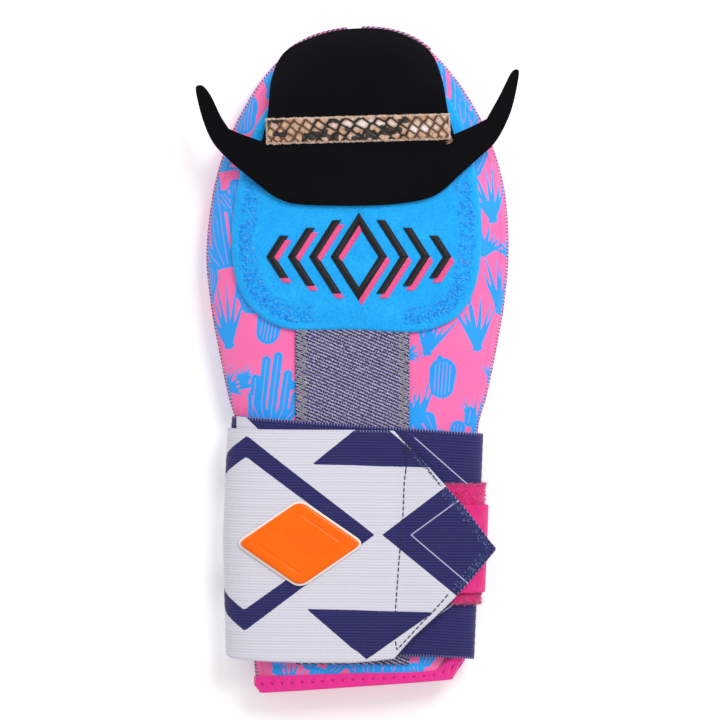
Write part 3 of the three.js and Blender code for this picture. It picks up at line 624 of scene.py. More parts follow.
def binding_ring(depth):
    """The wall's middle and half thickness round the mouth, a depth up the binding's legs: over the back
    from left to right, then below the palm from right to left. The leg is longest at the left, and a thick
    fold there covers the overlocked edge's end."""
    share = eased(RING_POINTS)
    middles, halves, bulges = [], [], []
    for height, rim, way in ((back_height, GAP / 2, 1), (palm_height, -GAP / 2, -1)):
        x = panel_surface(np.full(RING_POINTS, MOUTH_Y), share, height, 0, rim)[:, 0]
        corner = smoothstep(x, 33, 40.5)
        fold = smoothstep(-x, 36, 41) * (0.5 + 0.5 * smoothstep(depth, 0, 0.35))
        leg = BINDING_LEG + 1.1 * smoothstep(-x, -15, 38) - 0.9 * smoothstep(x, 0, 26)
        level = MOUTH_Y + depth * (leg + (CORNER_LEG - leg) * corner)
        faces = [panel_surface(level, share, height, inset, rim) for inset in (0, WALL)]
        half = (faces[0] - faces[1]) / 2
        middles.append(((faces[0] + faces[1]) / 2)[::way])
        halves.append(half[::way])
        bulge = depth * corner * CORNER_BULGE + fold * BINDING_FOLD
        bulges.append((bulge * unit(half)[:, 0] ** 2)[::way])
    return np.concatenate(middles), np.concatenate(halves), np.concatenate(bulges)


def binding_line(side, out, depth, beyond=0.0):
    """One line round the mouth: out from the wall's face on one side of it, and beyond the mouth."""
    middle, half, bulge = binding_ring(depth)
    reach = np.linalg.norm(half, axis=1) + out + (bulge if side > 0 and np.min(out) > GAP else 0)
    return middle + unit(half) * (side * reach)[:, None] - [0, beyond, 0]


mark_way = way_along(binding_line(1, BINDING_TAPE, 0.45))
puff = -0.3 * np.cos(2 * np.pi * (mark_way - MARK_START) / MARK_PITCH)
lines = [binding_line(1, GAP, 1), binding_line(1, BINDING_TAPE - 0.35, 1.0)]
for depth in (0.94, 0.8, 0.65, 0.5, 0.35, 0.2, 0):
    lines.append(binding_line(1, BINDING_TAPE + puff * np.sin(np.pi * depth), depth))
for angle in np.radians(np.arange(20, 161, 20)):
    middle, half, bulge = binding_ring(0)
    across = np.sign(np.cos(angle)) * np.abs(np.cos(angle)) ** 0.45
    reach = (np.linalg.norm(half, axis=1) + BINDING_TAPE) * across + bulge * max(across, 0)
    lines.append(middle + unit(half) * reach[:, None] - [0, BINDING_CAP * np.sin(angle) ** 0.6, 0])
lines += [binding_line(-1, BINDING_TAPE, depth) for depth in (0, 0.3, 0.65, 0.94)]
lines += [binding_line(-1, GAP, 1), binding_line(-1, GAP, 0, GAP), binding_line(1, GAP, 0, GAP)]
ring = np.stack(lines, 1)
tape = mesh_piece("binding_tape", [(ring.reshape(-1, 3), [grid_faces(*ring.shape[:2], True, True)])])

# Knitted nylon edge tape: soft, a little fluffy, with fine ribs along it every 0.9 mm.
binding, tree, shader, place = start_material("knitted_nylon_tape", 0.75, 0.35)
fluff = node(tree, "TexNoise", {"Vector": place, "Scale": 2.4, "Detail": 4})["Fac"]
ribs = node(tree, "TexWave", {"Vector": place, "Scale": 0.35, "Distortion": 1.5}, bands_direction="Y")["Fac"]
tone = node(tree, "Mix", {0: fluff, 6: linear("#E41486"), 7: linear("#FF38A4")}, data_type="RGBA")[2]
height = node(tree, "Math", {0: ribs, 1: 0.5, 2: fluff}, operation="MULTIPLY_ADD")[0]
tree.links.new(tone, shader.inputs["Base Color"])
tree.links.new(node(tree, "Bump", {"Height": height, "Distance": 0.00025})[0], shader.inputs["Normal"])
tape.data.materials.append(binding)
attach(tape, "root")
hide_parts("wrist_binding")


def thread_material(name, colours, roughness, sheen, scale, detail, span=None, bump=0.0):
    """Material of a fine thread. Noise with that scale and detail mixes its two colours, over a span of the
    noise if one is given, and the same noise is its bump, in metres."""
    material, tree, shader, place = start_material(name, roughness, sheen)
    noise = node(tree, "TexNoise", {"Vector": place, "Scale": scale, "Detail": detail})["Fac"]
    share = node(tree, "MapRange", {0: noise, 1: span[0], 2: span[1]})[0] if span else noise
    ends = {6: linear(colours[0]), 7: linear(colours[1])}
    tone = node(tree, "Mix", {0: share, **ends}, data_type="RGBA")[2]
    tree.links.new(tone, shader.inputs["Base Color"])
    if bump:
        tree.links.new(node(tree, "Bump", {"Height": noise, "Distance": bump})[0], shader.inputs["Normal"])
    return material


# Its stitches: a small V of thread in every dimple of the outer leg.
legs = []
for slip, depth in ((-0.6, 0.56), (-0.3, 0.46), (0, 0.36), (0.3, 0.46), (0.6, 0.56)):
    line = binding_line(1, BINDING_TAPE - 0.2, depth)
    at = np.interp(np.arange(MARK_START, mark_way[-1] - 2, MARK_PITCH) + slip, mark_way, np.arange(len(line)))
    legs.append(np.stack([np.interp(at, np.arange(len(line)), line[:, k]) for k in range(3)], 1))
zigzag = threads("binding_zigzag", np.stack(legs, 1), 0.26)

# Spun polyester thread, a shade darker than the tape.
dark_thread = thread_material(
    "magenta_polyester_thread", ("#9E0F55", "#C21C70"), 0.55, 0.1, scale=3.0, detail=1, bump=0.0001
)
zigzag.data.materials.append(dark_thread)
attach(zigzag, "root")

# Elastic strip.
# Two inch heather woven elastic, sewn on flat down the back of the hand with a grey zigzag along both
# edges. Its upper end is tucked below the plush patch and its lower end below the wrist strap.
ELASTIC_SIDES = (-27.2, 22.7)
ELASTIC_THICKNESS = 1.2
TWILL_PITCH = 1.5
TWILL_SLOPE = 0.43
FLOAT_LENGTH = 1.1
ZIGZAG_STEP = 1.88


def elastic_top(x, y):
    """The back's height, the gap and the strip's thickness."""
    return back_height(x, y) + GAP + ELASTIC_THICKNESS


def rounded(distance, radius):
    """How far a face drops near its cut edge: a quarter circle of that radius."""
    return radius * (1 - roll(distance / radius))


# The twill's ridges run down to the right. They are fine only where the strip shows.
left, right = ELASTIC_SIDES
rim = np.array([0, 0.15, 0.4])
x, y = np.meshgrid(
    np.concatenate([left + rim, np.linspace(left + 0.8, right - 0.8, 118), right - rim[::-1]]),
    np.concatenate([np.arange(-134, -36, 6), np.arange(-35, 14, 0.42), np.arange(14.5, 19.1, 1.5)]),
)
edge = np.minimum(x - left, right - x)
line = (y + TWILL_SLOPE * x) / TWILL_PITCH
floats = x / FLOAT_LENGTH + 0.5 * np.floor(line)
relief = 0.12 * np.cos(2 * np.pi * line) + 0.05 * np.cos(2 * np.pi * floats)
top = elastic_top(x, y) - 0.1 + relief * np.clip(edge / 0.8, 0, 1) - rounded(edge, 0.45)
bottom = back_height(x, y) + GAP
strip = shell("twill_elastic", np.stack([x, y, top], -1), np.stack([x, y, bottom], -1))

# Twill woven elastic: polyester yarns in navy and pale grey lilac over covered rubber, a silk-like sheen on
# the pale floats. Each float is about 1 mm long.
heather, tree, shader, place = start_material("heather_twill_elastic", 0.6, 0.2)
parts = node(tree, "SeparateXYZ", {0: place})
wander = node(tree, "TexNoise", {"Vector": place, "Scale": 0.25, "Detail": 3})["Fac"]
slope = node(tree, "Math", {0: parts["X"], 1: TWILL_SLOPE, 2: parts["Y"]}, operation="MULTIPLY_ADD")[0]
slope = node(tree, "Math", {0: wander, 1: 0.5, 2: slope}, operation="MULTIPLY_ADD")[0]
turns = node(tree, "Math", {0: slope, 1: 2 * np.pi / TWILL_PITCH}, operation="MULTIPLY")[0]
wave = node(tree, "Math", {0: turns}, operation="COSINE")[0]
row = node(tree, "Math", {0: slope, 1: 1 / TWILL_PITCH}, operation="MULTIPLY")[0]
row = node(tree, "Math", {0: row}, operation="FLOOR")[0]
step = node(tree, "Math", {0: row, 1: 0.55, 2: parts["X"]}, operation="MULTIPLY_ADD")[0]
floats = node(tree, "Math", {0: step, 1: 2 * np.pi / FLOAT_LENGTH}, operation="MULTIPLY")[0]
floats = node(tree, "Math", {0: floats}, operation="COSINE")[0]
speck = node(tree, "TexNoise", {"Vector": place, "Scale": 1.5, "Detail": 2})["Fac"]
light = node(tree, "Math", {0: floats, 1: 0.4, 2: wave}, operation="MULTIPLY_ADD")[0]
light = node(tree, "Math", {0: speck, 1: 5.0, 2: light}, operation="MULTIPLY_ADD")[0]
light = node(tree, "MapRange", {0: light, 1: 2.1, 2: 3.7}, interpolation_type="SMOOTHSTEP")[0]
heathered = node(tree, "Mix", {0: light, 6: linear("#2E2A60"), 7: linear("#BDB6CC")}, data_type="RGBA")[2]
tree.links.new(heathered, shader.inputs["Base Color"])
tree.links.new(node(tree, "Bump", {"Height": light, "Distance": 0.00015})[0], shader.inputs["Normal"])
strip.data.materials.append(heather)
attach(strip, "root")
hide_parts("elastic_strip")

# A three-step zigzag of two threads down each edge: every leg dips at its needle holes.
step = np.arange(0, 26, 1 / 9)
zig = np.abs((step % 2) - 1)
paths = []
for left, right in ((-26.6, -22.4), (17.9, 22.1)):
    for shift in (0, 0.7):
        x = left + (right - left) * zig
        y = -34 + step * ZIGZAG_STEP + shift
        dip = np.abs(np.sin(step * 3 * np.pi)) ** 0.6
        paths.append(np.stack([x, y, elastic_top(x, y) + 0.05 + 0.18 * dip], 1))
edging = threads("elastic_zigzag", np.stack(paths), 0.18)

# Grey spun polyester thread, matt, with a twist that shows as small changes of tone.
grey_thread = thread_material(
    "grey_polyester_thread", ("#8D8892", "#C6C0C4"), 0.6, 0.15, scale=1.4, detail=1, bump=0.0001
)
edging.data.materials.append(grey_thread)
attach(edging, "root")

# Plush patch.
# Brushed loop fabric on thin foam, cut to the back of the fingers. Its edge is turned in, and a wide zigzag
# in the same blue holds it down both sides and round its lower corners. The hat covers its upper end.
PATCH_THICKNESS = 2.4
PATCH_OUTLINE = np.array([
    [-55.4, 52], [-53, 33.5], [-45, 21], [-32, 13.6], [-16, 12.9], [0, 13], [16, 12], [30, 12.6], [44, 19],
    [52, 33], [54.7, 54], [53.2, 74], [49.6, 92], [44, 108.6], [33, 121.5], [14, 128], [-10, 128],
    [-29, 121.5], [-42.5, 106.5], [-49.4, 90], [-53.8, 70],
])
PATCH_CENTRE = np.array([0, 68])
PATCH_CELLS = 168
STITCH_COUNT = 2400


def closed_curve(points, steps):
    """Smooth closed line through the points."""
    places = np.arange(-1, len(points) + 2)
    wrapped = np.concatenate([points[-1:], points, points[:2]])
    at = np.linspace(0, len(points), steps * len(points) + 1)
    return np.stack([along(places, wrapped[:, k], at) for k in range(2)], 1)


def disc_grid(outline, centre, cells):
    """Grid over a closed outline: the rings of a square grid become scaled copies of the outline, and lie
    closer together towards it, by a sine."""
    side = np.sin(np.linspace(-np.pi / 2, np.pi / 2, cells + 1))
    u, v = np.meshgrid(side, side)
    angle, size = np.arctan2(v, u), np.maximum(np.abs(u), np.abs(v))
    way = outline[:-1] - centre
    reach = np.interp(angle, np.arctan2(way[:, 1], way[:, 0]), np.hypot(*way.T), period=2 * np.pi)
    return centre[0] + reach * size * np.cos(angle), centre[1] + reach * size * np.sin(angle)


def patch_top(x, y):
    """The back's height, the gap and the patch's thickness."""
    return back_height(x, y) + GAP + PATCH_THICKNESS


patch_edge = closed_curve(PATCH_OUTLINE, 12)
x, y = disc_grid(patch_edge, PATCH_CENTRE, PATCH_CELLS)
edge = line_distance(x, y, patch_edge)
uneven = edge + 0.9 * rough(x, y, 5, 7)
sewn = smoothstep(uneven, 2.4, 4.2) * (1 - smoothstep(uneven, 9.5, 12))
sewn *= 1 - (1 - smoothstep(np.abs(x), 17, 22)) * (1 - smoothstep(y, 26, 30))
tufts = 0.09 * rough(x, y, 1.9, 3) + 0.07 * rough(x, y, 4.5, 4)
puff = -rounded(edge, 1.5) - 0.35 * (1 - smoothstep(edge, 0, 7))
top = patch_top(x, y) + puff + tufts * np.clip(edge, 0, 1) - sewn * (0.3 - 0.18 * rough(x, y, 1.5, 5))
bottom = back_height(x, y) + GAP
tucked = (x > ELASTIC_SIDES[0] - 0.6) & (x < ELASTIC_SIDES[1] + 0.6) & (y < 19.5)
bottom = np.where(tucked, np.minimum(elastic_top(x, y) + GAP, top - 0.3), bottom)
plush = shell("brushed_patch", np.stack([x, y, top], -1), np.stack([x, y, bottom], -1), {"sewn": sewn})

# Brushed polyester loop fabric: a short nap with painted light on its tips and painted shade in its
# hollows. The sewn band is pressed down, and painted shade darkens its needle holes into specks. Loops are
# 0.5 mm in fact and drawn at 0.9 mm.
loops, tree, shader, place = start_material("brushed_loop_fabric", 0.9, 0.2, 0.15)
sewn_mark = node(tree, "Attribute", attribute_name="sewn")["Fac"]
nap = node(tree, "TexNoise", {"Vector": place, "Scale": 1.1, "Detail": 4, "Roughness": 0.7})["Fac"]
brush = node(tree, "TexNoise", {"Vector": place, "Scale": 0.12, "Detail": 3})["Fac"]
holes = node(tree, "TexVoronoi", {"Vector": place, "Scale": 0.85})["Distance"]
tone = node(tree, "Mix", {0: brush, 6: linear("#0F9EF5"), 7: linear("#27B6FD")}, data_type="RGBA")[2]
shade = node(tree, "MapRange", {0: nap, 1: 0.32, 2: 0.62, 3: 0.8, 4: 1.1})[0]
tone = node(tree, "Mix", {0: 1.0, 6: tone, 7: shade}, data_type="RGBA", blend_type="MULTIPLY")[2]
# Painted shade: the needle holes in the sewn band are darkened into specks, as shade falls into them.
needle_hole_shade = node(tree, "MapRange", {0: holes, 1: 0.1, 2: 0.5, 3: 0.5, 4: 0.0})[0]
needle_hole_shade = node(tree, "Math", {0: needle_hole_shade, 1: sewn_mark}, operation="MULTIPLY")[0]
tone = node(tree, "Mix", {0: needle_hole_shade, 6: tone, 7: linear("#0D74D2")}, data_type="RGBA")[2]
tree.links.new(tone, shader.inputs["Base Color"])
tree.links.new(node(tree, "Bump", {"Height": nap, "Distance": 0.0003})[0], shader.inputs["Normal"])
plush.data.materials.append(loops)
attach(plush, "root")
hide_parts("plush_patch")

# The zigzag's threads: short stitches that lean both ways, in uneven rows, some of them sunk in the nap.
patch_way = way_along(patch_edge)[-1]
random = np.random.default_rng(5)
at, row = random.uniform(0, patch_way, STITCH_COUNT), random.uniform(0, 1, STITCH_COUNT)
start = walk(patch_edge, at)
ahead = unit(walk(patch_edge, np.mod(at + 0.5, patch_way)) - start)
inward = np.stack([-ahead[:, 1], ahead[:, 0]], 1)
start = start + inward * (2.9 + 7.2 * row)[:, None]
lean = random.choice([-1, 1], STITCH_COUNT) * random.uniform(0.3, 1.3, STITCH_COUNT)
end = start + inward * random.uniform(0.8, 1.9, STITCH_COUNT)[:, None] + ahead * lean[:, None]
stitches = np.stack([start, (start + end) / 2, end], 1)
x, y = stitches[:, 1, 0], stitches[:, 1, 1]
stitches = stitches[(y < 86) & ~((np.abs(x) < 19 + 2 * rough(x, y, 3, 6)) & (y < 30))]
z = patch_top(stitches[..., 0], stitches[..., 1]) - 0.36 + np.array([0, 0.22, 0])
z = z + random.uniform(-0.15, 0.15, (len(stitches), 1))
patch_zigzag = threads("patch_zigzag", np.concatenate([stitches, z[..., None]], -1), 0.19)

# Blue textured polyester thread, like the patch, with painted highlights in places, where a float stands up
# into the light.
blue_thread = thread_material(
    "blue_polyester_thread", ("#129AF4", "#6AC9FF"), 0.6, 0.0, scale=0.8, detail=2, span=(0.42, 0.7)
)
patch_zigzag.data.materials.append(blue_thread)
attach(patch_zigzag, "root")

# Stitched ornament.
# A diamond between chevrons in satin stitch: thread laid side by side across each bar. The figure is black
# and a like one in magenta, sewn first, lies a little down to the right as its shadow.
ORNAMENT_PLACE = np.array([0.6, 45])
HALF_WIDTH = 12.5
HALF_HEIGHT = 19.5
CHEVRON_PITCH = 9.4
CHEVRON_SHRINK = 3.4
STROKE = 3.4
SHADOW = np.array([1.3, -2])
THREAD_PITCH = 0.55
ACROSS_BAR = 11


def ornament_bars():
    """Each bar as four corners: outer and inner ones at its start, then at its end, round the middle."""
    ring = np.array([[HALF_WIDTH, 0], [0, HALF_HEIGHT], [-HALF_WIDTH, 0], [0, -HALF_HEIGHT]])
    inner = ring * (1 - STROKE * np.hypot(HALF_WIDTH, HALF_HEIGHT) / (HALF_WIDTH * HALF_HEIGHT))
    bars = [[ring[k], inner[k], ring[k - 3], inner[k - 3]] for k in range(4)]
    slope = HALF_HEIGHT / HALF_WIDTH
    thick = np.array([STROKE * np.hypot(1, 1 / slope), 0])
    for number in (1, 2, 3):
        half = HALF_HEIGHT - CHEVRON_SHRINK * number
        apex = np.array([HALF_WIDTH + CHEVRON_PITCH * number, 0])
        for up in (1, -1):
            foot = np.array([apex[0] - half / slope, up * half])
            for side in (1, -1):
                turned = np.array([side, 1])
                bars.append([p * turned for p in (apex, apex - thick, foot, foot - thick)])
    return np.array(bars)


def satin_bar(bar, crown):
    """A bar's surface: threads across it as ridges, over a padding whose section is a flat arch."""
    outer_start, inner_start, outer_end, inner_end = bar
    length = np.linalg.norm(outer_end - outer_start)
    u = np.linspace(0, 1, int(length / THREAD_PITCH) * 4 + 1)[:, None, None]
    v = eased(ACROSS_BAR)[None, :, None]
    outer = outer_start + (outer_end - outer_start) * u
    inner = inner_start + (inner_end - inner_start) * u
    point = outer + (inner - outer) * v
    x, y = point[..., 0], point[..., 1]
    arch = (1 - np.abs(2 * v[..., 0] - 1) ** 2.6) ** 0.5
    ends = np.clip(np.minimum(u, 1 - u)[..., 0] * length / 0.5, 0, 1) ** 0.5
    ridge = np.abs(np.sin(np.pi * u[..., 0] * length / THREAD_PITCH))
    base = patch_top(x, y) - 0.15
    top = base + (crown * arch + 0.16 * (ridge - 0.5) * arch) * (0.8 + 0.2 * ends)
    sides_and_middle = [0, ACROSS_BAR // 2, ACROSS_BAR - 1]
    foot = np.stack([x, y, base - 0.35], -1)[:, sides_and_middle]
    return wall_between(np.stack([x, y, top], -1), foot)


bars = ornament_bars() + ORNAMENT_PLACE
figure = mesh_piece("satin_figure", [satin_bar(bar, 1.15) for bar in bars])
shadow = mesh_piece("satin_shadow", [satin_bar(bar + SHADOW, 0.75) for bar in bars])
ornament_nodes = ["stitched_diamond"]
ornament_nodes += [f"stitched_chevron_{side}_{n}" for side in ("left", "right") for n in (1, 2, 3)]

# Trilobal polyester embroidery thread: a silky gloss along every float.
for piece, name, colours in (
    (figure, "black_embroidery_thread", ("#09080C", "#1B1922")),
    (shadow, "magenta_embroidery_thread", ("#D62A70", "#FF6AA5")),
):
    silk = thread_material(name, colours, 0.38, 0.1, scale=1.2, detail=3, bump=0.00008)
    piece.data.materials.append(silk)
    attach(piece, "root")
    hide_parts(*ornament_nodes)

# Hat cut-out.
# A flat western hat, die-cut from stiff suede-like felt. It is sewn on along the foot of its brim and its
# crown is caught at the fingertips. The brim's curled ends stand free of the mitt.
HAT_THICKNESS = 1.8
HAT_EDGES = [
    [[-42, 95.6], [-50, 98.5], [-56.4, 101.2]],
    [[-56.4, 101.2], [-60, 106.8], [-64, 115.2], [-67.2, 119.6], [-69.6, 120.4], [-71, 118], [-67.8, 105],
     [-63.1, 94.7], [-55.6, 86.6]],
    [[-55.6, 86.6], [-46.4, 79], [-38.4, 72.7], [-33, 69.8], [-26, 68], [-8, 67.3], [10, 67.6], [24, 69.1],
     [33, 71.5], [39, 75.4], [46, 82], [54.5, 89.5]],
    [[54.5, 89.5], [60.2, 95], [65, 103.2], [68.4, 112.5], [70.9, 125.4], [69.6, 127.4], [67.1, 125.4],
     [62.5, 116.2], [56.6, 105.5]],
    [[56.6, 105.5], [50.3, 102.3], [42.3, 98.7]],
    [[42.3, 98.7], [39.6, 109], [37, 124], [31.2, 136.6], [16.2, 144.7], [0.5, 146.1],
     [-15, 143.7], [-31.4, 136.3], [-37.7, 124], [-39.4, 107.3], [-42, 95.6]],
]  # top of the brim on the left, left end, foot, right end, top on the right, crown
HAT_TIPS = [(-70.6, 119.6), (70.6, 126.8)]
HAT_CELL = 1.1


def open_curve(points, steps):
    """Smooth line through the points, from the first to the last."""
    points = np.array(points, float)
    places, at = np.arange(len(points)), np.linspace(0, len(points) - 1, steps * (len(points) - 1) + 1)
    return np.stack([along(places, points[:, k], at) for k in range(2)], 1)


def nearest(line, point):
    """Number of the point of the line with the least distance to the one given."""
    return int(np.argmin(np.hypot(*(line - point).T)))


def hat_bottom(x, y):
    """The hat lies level over the patch, its brim's ends sag a little, and the crown bends to the seam."""
    level = patch_top(centre_line(y), np.minimum(y, TIP_Y - 18)) + 0.4
    edge = seam_height(y) + SEAM_HEIGHT / 2 + GAP
    at_crown = smoothstep(y, 108, 126) * (1 - smoothstep(np.abs(x), 42, 52))
    bend = at_crown * np.clip(1 - (inside(x, y) + GAP + SEAM_WIDTH) / 18, 0, 1) ** 2
    return (level - 1.2 * (x / 70) ** 2) * (1 - bend) + edge * bend


def hat_top(x, y):
    """The hat's bottom and its thickness."""
    return hat_bottom(x, y) + HAT_THICKNESS


hat_line = np.concatenate([open_curve(edge, 10)[:-1] for edge in HAT_EDGES])
left_tip, right_tip = (nearest(hat_line, tip) for tip in HAT_TIPS)
foot_line = hat_line[left_tip:right_tip + 1]
crown_line = np.concatenate([hat_line[right_tip:], hat_line[:left_tip + 1]])[::-1]

# The grid runs between the two lines. These pairs of points face each other on them, from tip to tip.
facing = [
    [HAT_TIPS[0], HAT_TIPS[0]], [(-67.2, 119.6), (-70.6, 115)], [(-56.4, 101.2), (-61, 92)],
    [(-42, 95.6), (-46, 79)], [(-37.7, 124), (-37, 72.4)], [(-15, 144.2), (-14, 67.6)],
    [(16, 144.2), (15, 68.6)], [(37, 124), (36, 73.8)], [(42.3, 98.7), (44, 79.8)],
    [(56.6, 105.5), (59, 93.6)], [(67.1, 125.4), (70.5, 122)], [HAT_TIPS[1], HAT_TIPS[1]],
]
crown_way, foot_way = way_along(crown_line), way_along(foot_line)
crown_at = np.array([crown_way[nearest(crown_line, upper)] for upper, _ in facing])
foot_at = np.array([foot_way[nearest(foot_line, lower)] for _, lower in facing])
cells = np.maximum(np.ceil(np.diff(np.maximum(crown_at, foot_at)) / HAT_CELL), 4).astype(int)
parts = np.concatenate([k + np.arange(n) / n for k, n in enumerate(cells)] + [[len(cells)]])
crown_side = walk(crown_line, np.interp(parts, np.arange(len(facing)), crown_at))
foot_side = walk(foot_line, np.interp(parts, np.arange(len(facing)), foot_at))
share = eased(73)[None, :, None]
felt_plan = foot_side[:, None] + (crown_side - foot_side)[:, None] * share
x, y = felt_plan[..., 0], felt_plan[..., 1]
edge = line_distance(x, y, np.concatenate([hat_line, hat_line[:1]]))
soft = rounded(edge, 0.55)
base = hat_bottom(x, y)
waves = 0.12 * rough(x, y, 26, 8)
hat = shell(
    "felt_hat",
    np.stack([x, y, base + HAT_THICKNESS - soft + waves], -1),
    np.stack([x, y, base + 0.6 * soft], -1),
)

# Dense needled felt with a suede-like face, dyed black: very matt, with a fine nap and a few stray fibres.
felt, tree, shader, place = start_material("black_suede_felt", 0.95, 0.0, 0.08)
nap = node(tree, "TexNoise", {"Vector": place, "Scale": 1.8, "Detail": 5, "Roughness": 0.7})["Fac"]
wear = node(tree, "TexNoise", {"Vector": place, "Scale": 0.05, "Detail": 4})["Fac"]
tone = node(tree, "Mix", {0: wear, 6: linear("#09080B"), 7: linear("#0F0E12")}, data_type="RGBA")[2]
fibre = node(tree, "MapRange", {0: nap, 1: 0.66, 2: 0.78, 3: 0.0, 4: 0.5})[0]
tone = node(tree, "Mix", {0: fibre, 6: tone, 7: linear("#211F26")}, data_type="RGBA")[2]
tree.links.new(tone, shader.inputs["Base Color"])
tree.links.new(node(tree, "Bump", {"Height": nap, "Distance": 0.00025})[0], shader.inputs["Normal"])
hat.data.materials.append(felt)
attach(hat, "root")
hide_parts("hat_cutout")


def running_stitches(line, first, last, pitch, length, surface, lift):
    """Stitches along a line: five points each, that rise out of the surface and dip back into it."""
    start = np.arange(first, last, pitch)[:, None]
    t = np.linspace(0, 1, 5)[None, :]
    point = walk(line, start + length * t)
    z = surface(point[..., 0], point[..., 1]) + lift * (np.sin(np.pi * t) ** 0.5 - 0.4)
    return np.concatenate([point, z[..., None]], -1)


# Black stitches 1.6 mm inside the brim's foot.
ahead = unit(np.gradient(foot_line, axis=0))
sewing_line = foot_line + np.stack([-ahead[:, 1], ahead[:, 0]], 1) * 1.6
first, last = way_along(sewing_line)[[nearest(foot_line, (-60, 91)), nearest(foot_line, (58, 92.5))]]
stitches = running_stitches(sewing_line, first, last, 2.6, 2.0, hat_top, 0.16)
hat_seam = threads("brim_stitches", stitches, 0.16)
hat_seam.data.materials.append(felt)
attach(hat_seam, "root")

# Hat band.
# A strip of embossed snakeskin over the hat, cut with pinked edges and sewn down all round. Its scales
# overlap in slanted rows, cream and tan with brown edges, and black markings run through their lower half.
BAND_PLACE = (0.3, 101)
BAND_HALF = (40.5, 5.8)
BAND_TILT = np.radians(1.6)
BAND_THICKNESS = 1.1
SCALE_SIZE = (6.4, 5.6)
BLACK_MARKS = [
    (1.15, -17, -2.6, 5.5, 2.6, -1), (1.1, -10.5, -3.4, 3.6, 2.2, 0), (1.1, 0, -4, 3.6, 1.9, 0),
    (1.1, 13.5, -1.3, 5.5, 2.1, 0.4), (1.1, 5.8, -2.8, 3.8, 2.4, 0), (1.05, 18, -0.8, 2.3, 1.9, 0),
    (1.05, -9.7, 3.6, 3.4, 1.4, 0), (1.0, 20.5, 3.2, 3, 1.5, 0), (1.0, -5, 0.8, 2, 2.2, 0),
    (1.0, 10.3, 1, 2, 2.6, 0), (0.95, -36, 4.4, 6.5, 1.4, 0), (0.95, -34, -1.2, 4.4, 1.9, 0),
]  # strength, place along and across, half length and half width, lean


def edged_steps(half, count):
    """Steps from minus half to half, with two close ones at each end."""
    inner = np.linspace(0.3 - half, half - 0.3, count)
    return np.concatenate([[-half, 0.1 - half], inner, [half - 0.1, half]])


def band_place(p, q):
    """From places along and across the band to places on the mitt: turned by its tilt, then moved."""
    c, s = np.cos(BAND_TILT), np.sin(BAND_TILT)
    return BAND_PLACE[0] + p * c - q * s, BAND_PLACE[1] + p * s + q * c


def scales(p, q, seed):
    """Distance to the seam with the next scale and two fixed random numbers for each scale. The scales are
    cells round the points of a staggered, uneven lattice, under a measure between diamond and circle."""
    random = np.random.default_rng(seed)
    table = random.uniform(-1, 1, (64, 64, 4))
    best, second = np.full(p.shape, 9.0), np.full(p.shape, 9.0)
    tone, other = np.zeros(p.shape), np.zeros(p.shape)
    for stagger in (0, 0.5):
        column = np.floor(p / SCALE_SIZE[0] - stagger).astype(int)
        row = np.floor(q / SCALE_SIZE[1] - stagger).astype(int)
        for i in (-1, 0, 1, 2):
            for j in (-1, 0, 1, 2):
                cell = table[(column + i) % 64, (row + j + int(4 * stagger)) % 64]
                dp = p / SCALE_SIZE[0] - (column + i + stagger + 0.15 * cell[..., 0])
                dq = q / SCALE_SIZE[1] - (row + j + stagger + 0.12 * cell[..., 1])
                far = (np.abs(dp) ** 1.55 + np.abs(dq) ** 1.55) ** (1 / 1.55)
                nearer = far < best
                second = np.where(nearer, best, np.minimum(second, far))
                tone, other = np.where(nearer, cell[..., 2], tone), np.where(nearer, cell[..., 3], other)
                best = np.where(nearer, far, best)
    return (second - best) * SCALE_SIZE[1], tone, other


p, q = np.meshgrid(edged_steps(BAND_HALF[0], 322), edged_steps(BAND_HALF[1], 45))
edge = np.minimum(BAND_HALF[0] - np.abs(p), BAND_HALF[1] - np.abs(q))
ragged = 0.28 * rough(p, q, 0.9, 21) * (1 - smoothstep(edge, 0, 1.2))
x, y = band_place(p * (1 + ragged / 40), q * (1 + ragged / 6))
seam, tone, other = scales(p * (0.9 + 0.0065 * np.abs(p)) + 0.35 * q, q + 0.7, 22)
size = rough(p, q, 3.5, 23)
black = np.maximum.reduce([
    strength - np.hypot((p - at + slope * q) / long, (q - level) / wide)
    for strength, at, level, long, wide, slope in BLACK_MARKS
])
ground = smoothstep(p, -24, -18) * (1 - smoothstep(p, 20, 25)) * (1 - smoothstep(seam, 0.4, 1.3))
pale = np.maximum(1 - np.hypot((p - 2) / 20, (q - 2) / 2.6), 1 - np.hypot((p - 27) / 9, (q + 0.5) / 3.4))
pale = smoothstep(pale, 0, 0.6)
black = smoothstep(black + 0.3 * size - 0.5 * pale * smoothstep(seam, 0.6, 1.2), 0.05, 0.45)
black = np.maximum(black, 0.9 * ground)
pale = np.clip(0.8 * pale + 0.35 * tone, 0, 1)
dome = smoothstep(seam, 0, 1.5)
hem = 1 - smoothstep(edge, 0.5, 0.9)
lift = 0.4 * dome * (1 - hem) + 0.08 * size
base = hat_top(x, y) + GAP
top = base + BAND_THICKNESS - 0.45 + lift - rounded(edge, 0.35)
marks = {"seam": seam, "tone": tone, "black": black, "pale": pale, "hem": hem}
band = shell("snakeskin_band", np.stack([x, y, top], -1), np.stack([x, y, base], -1), marks)
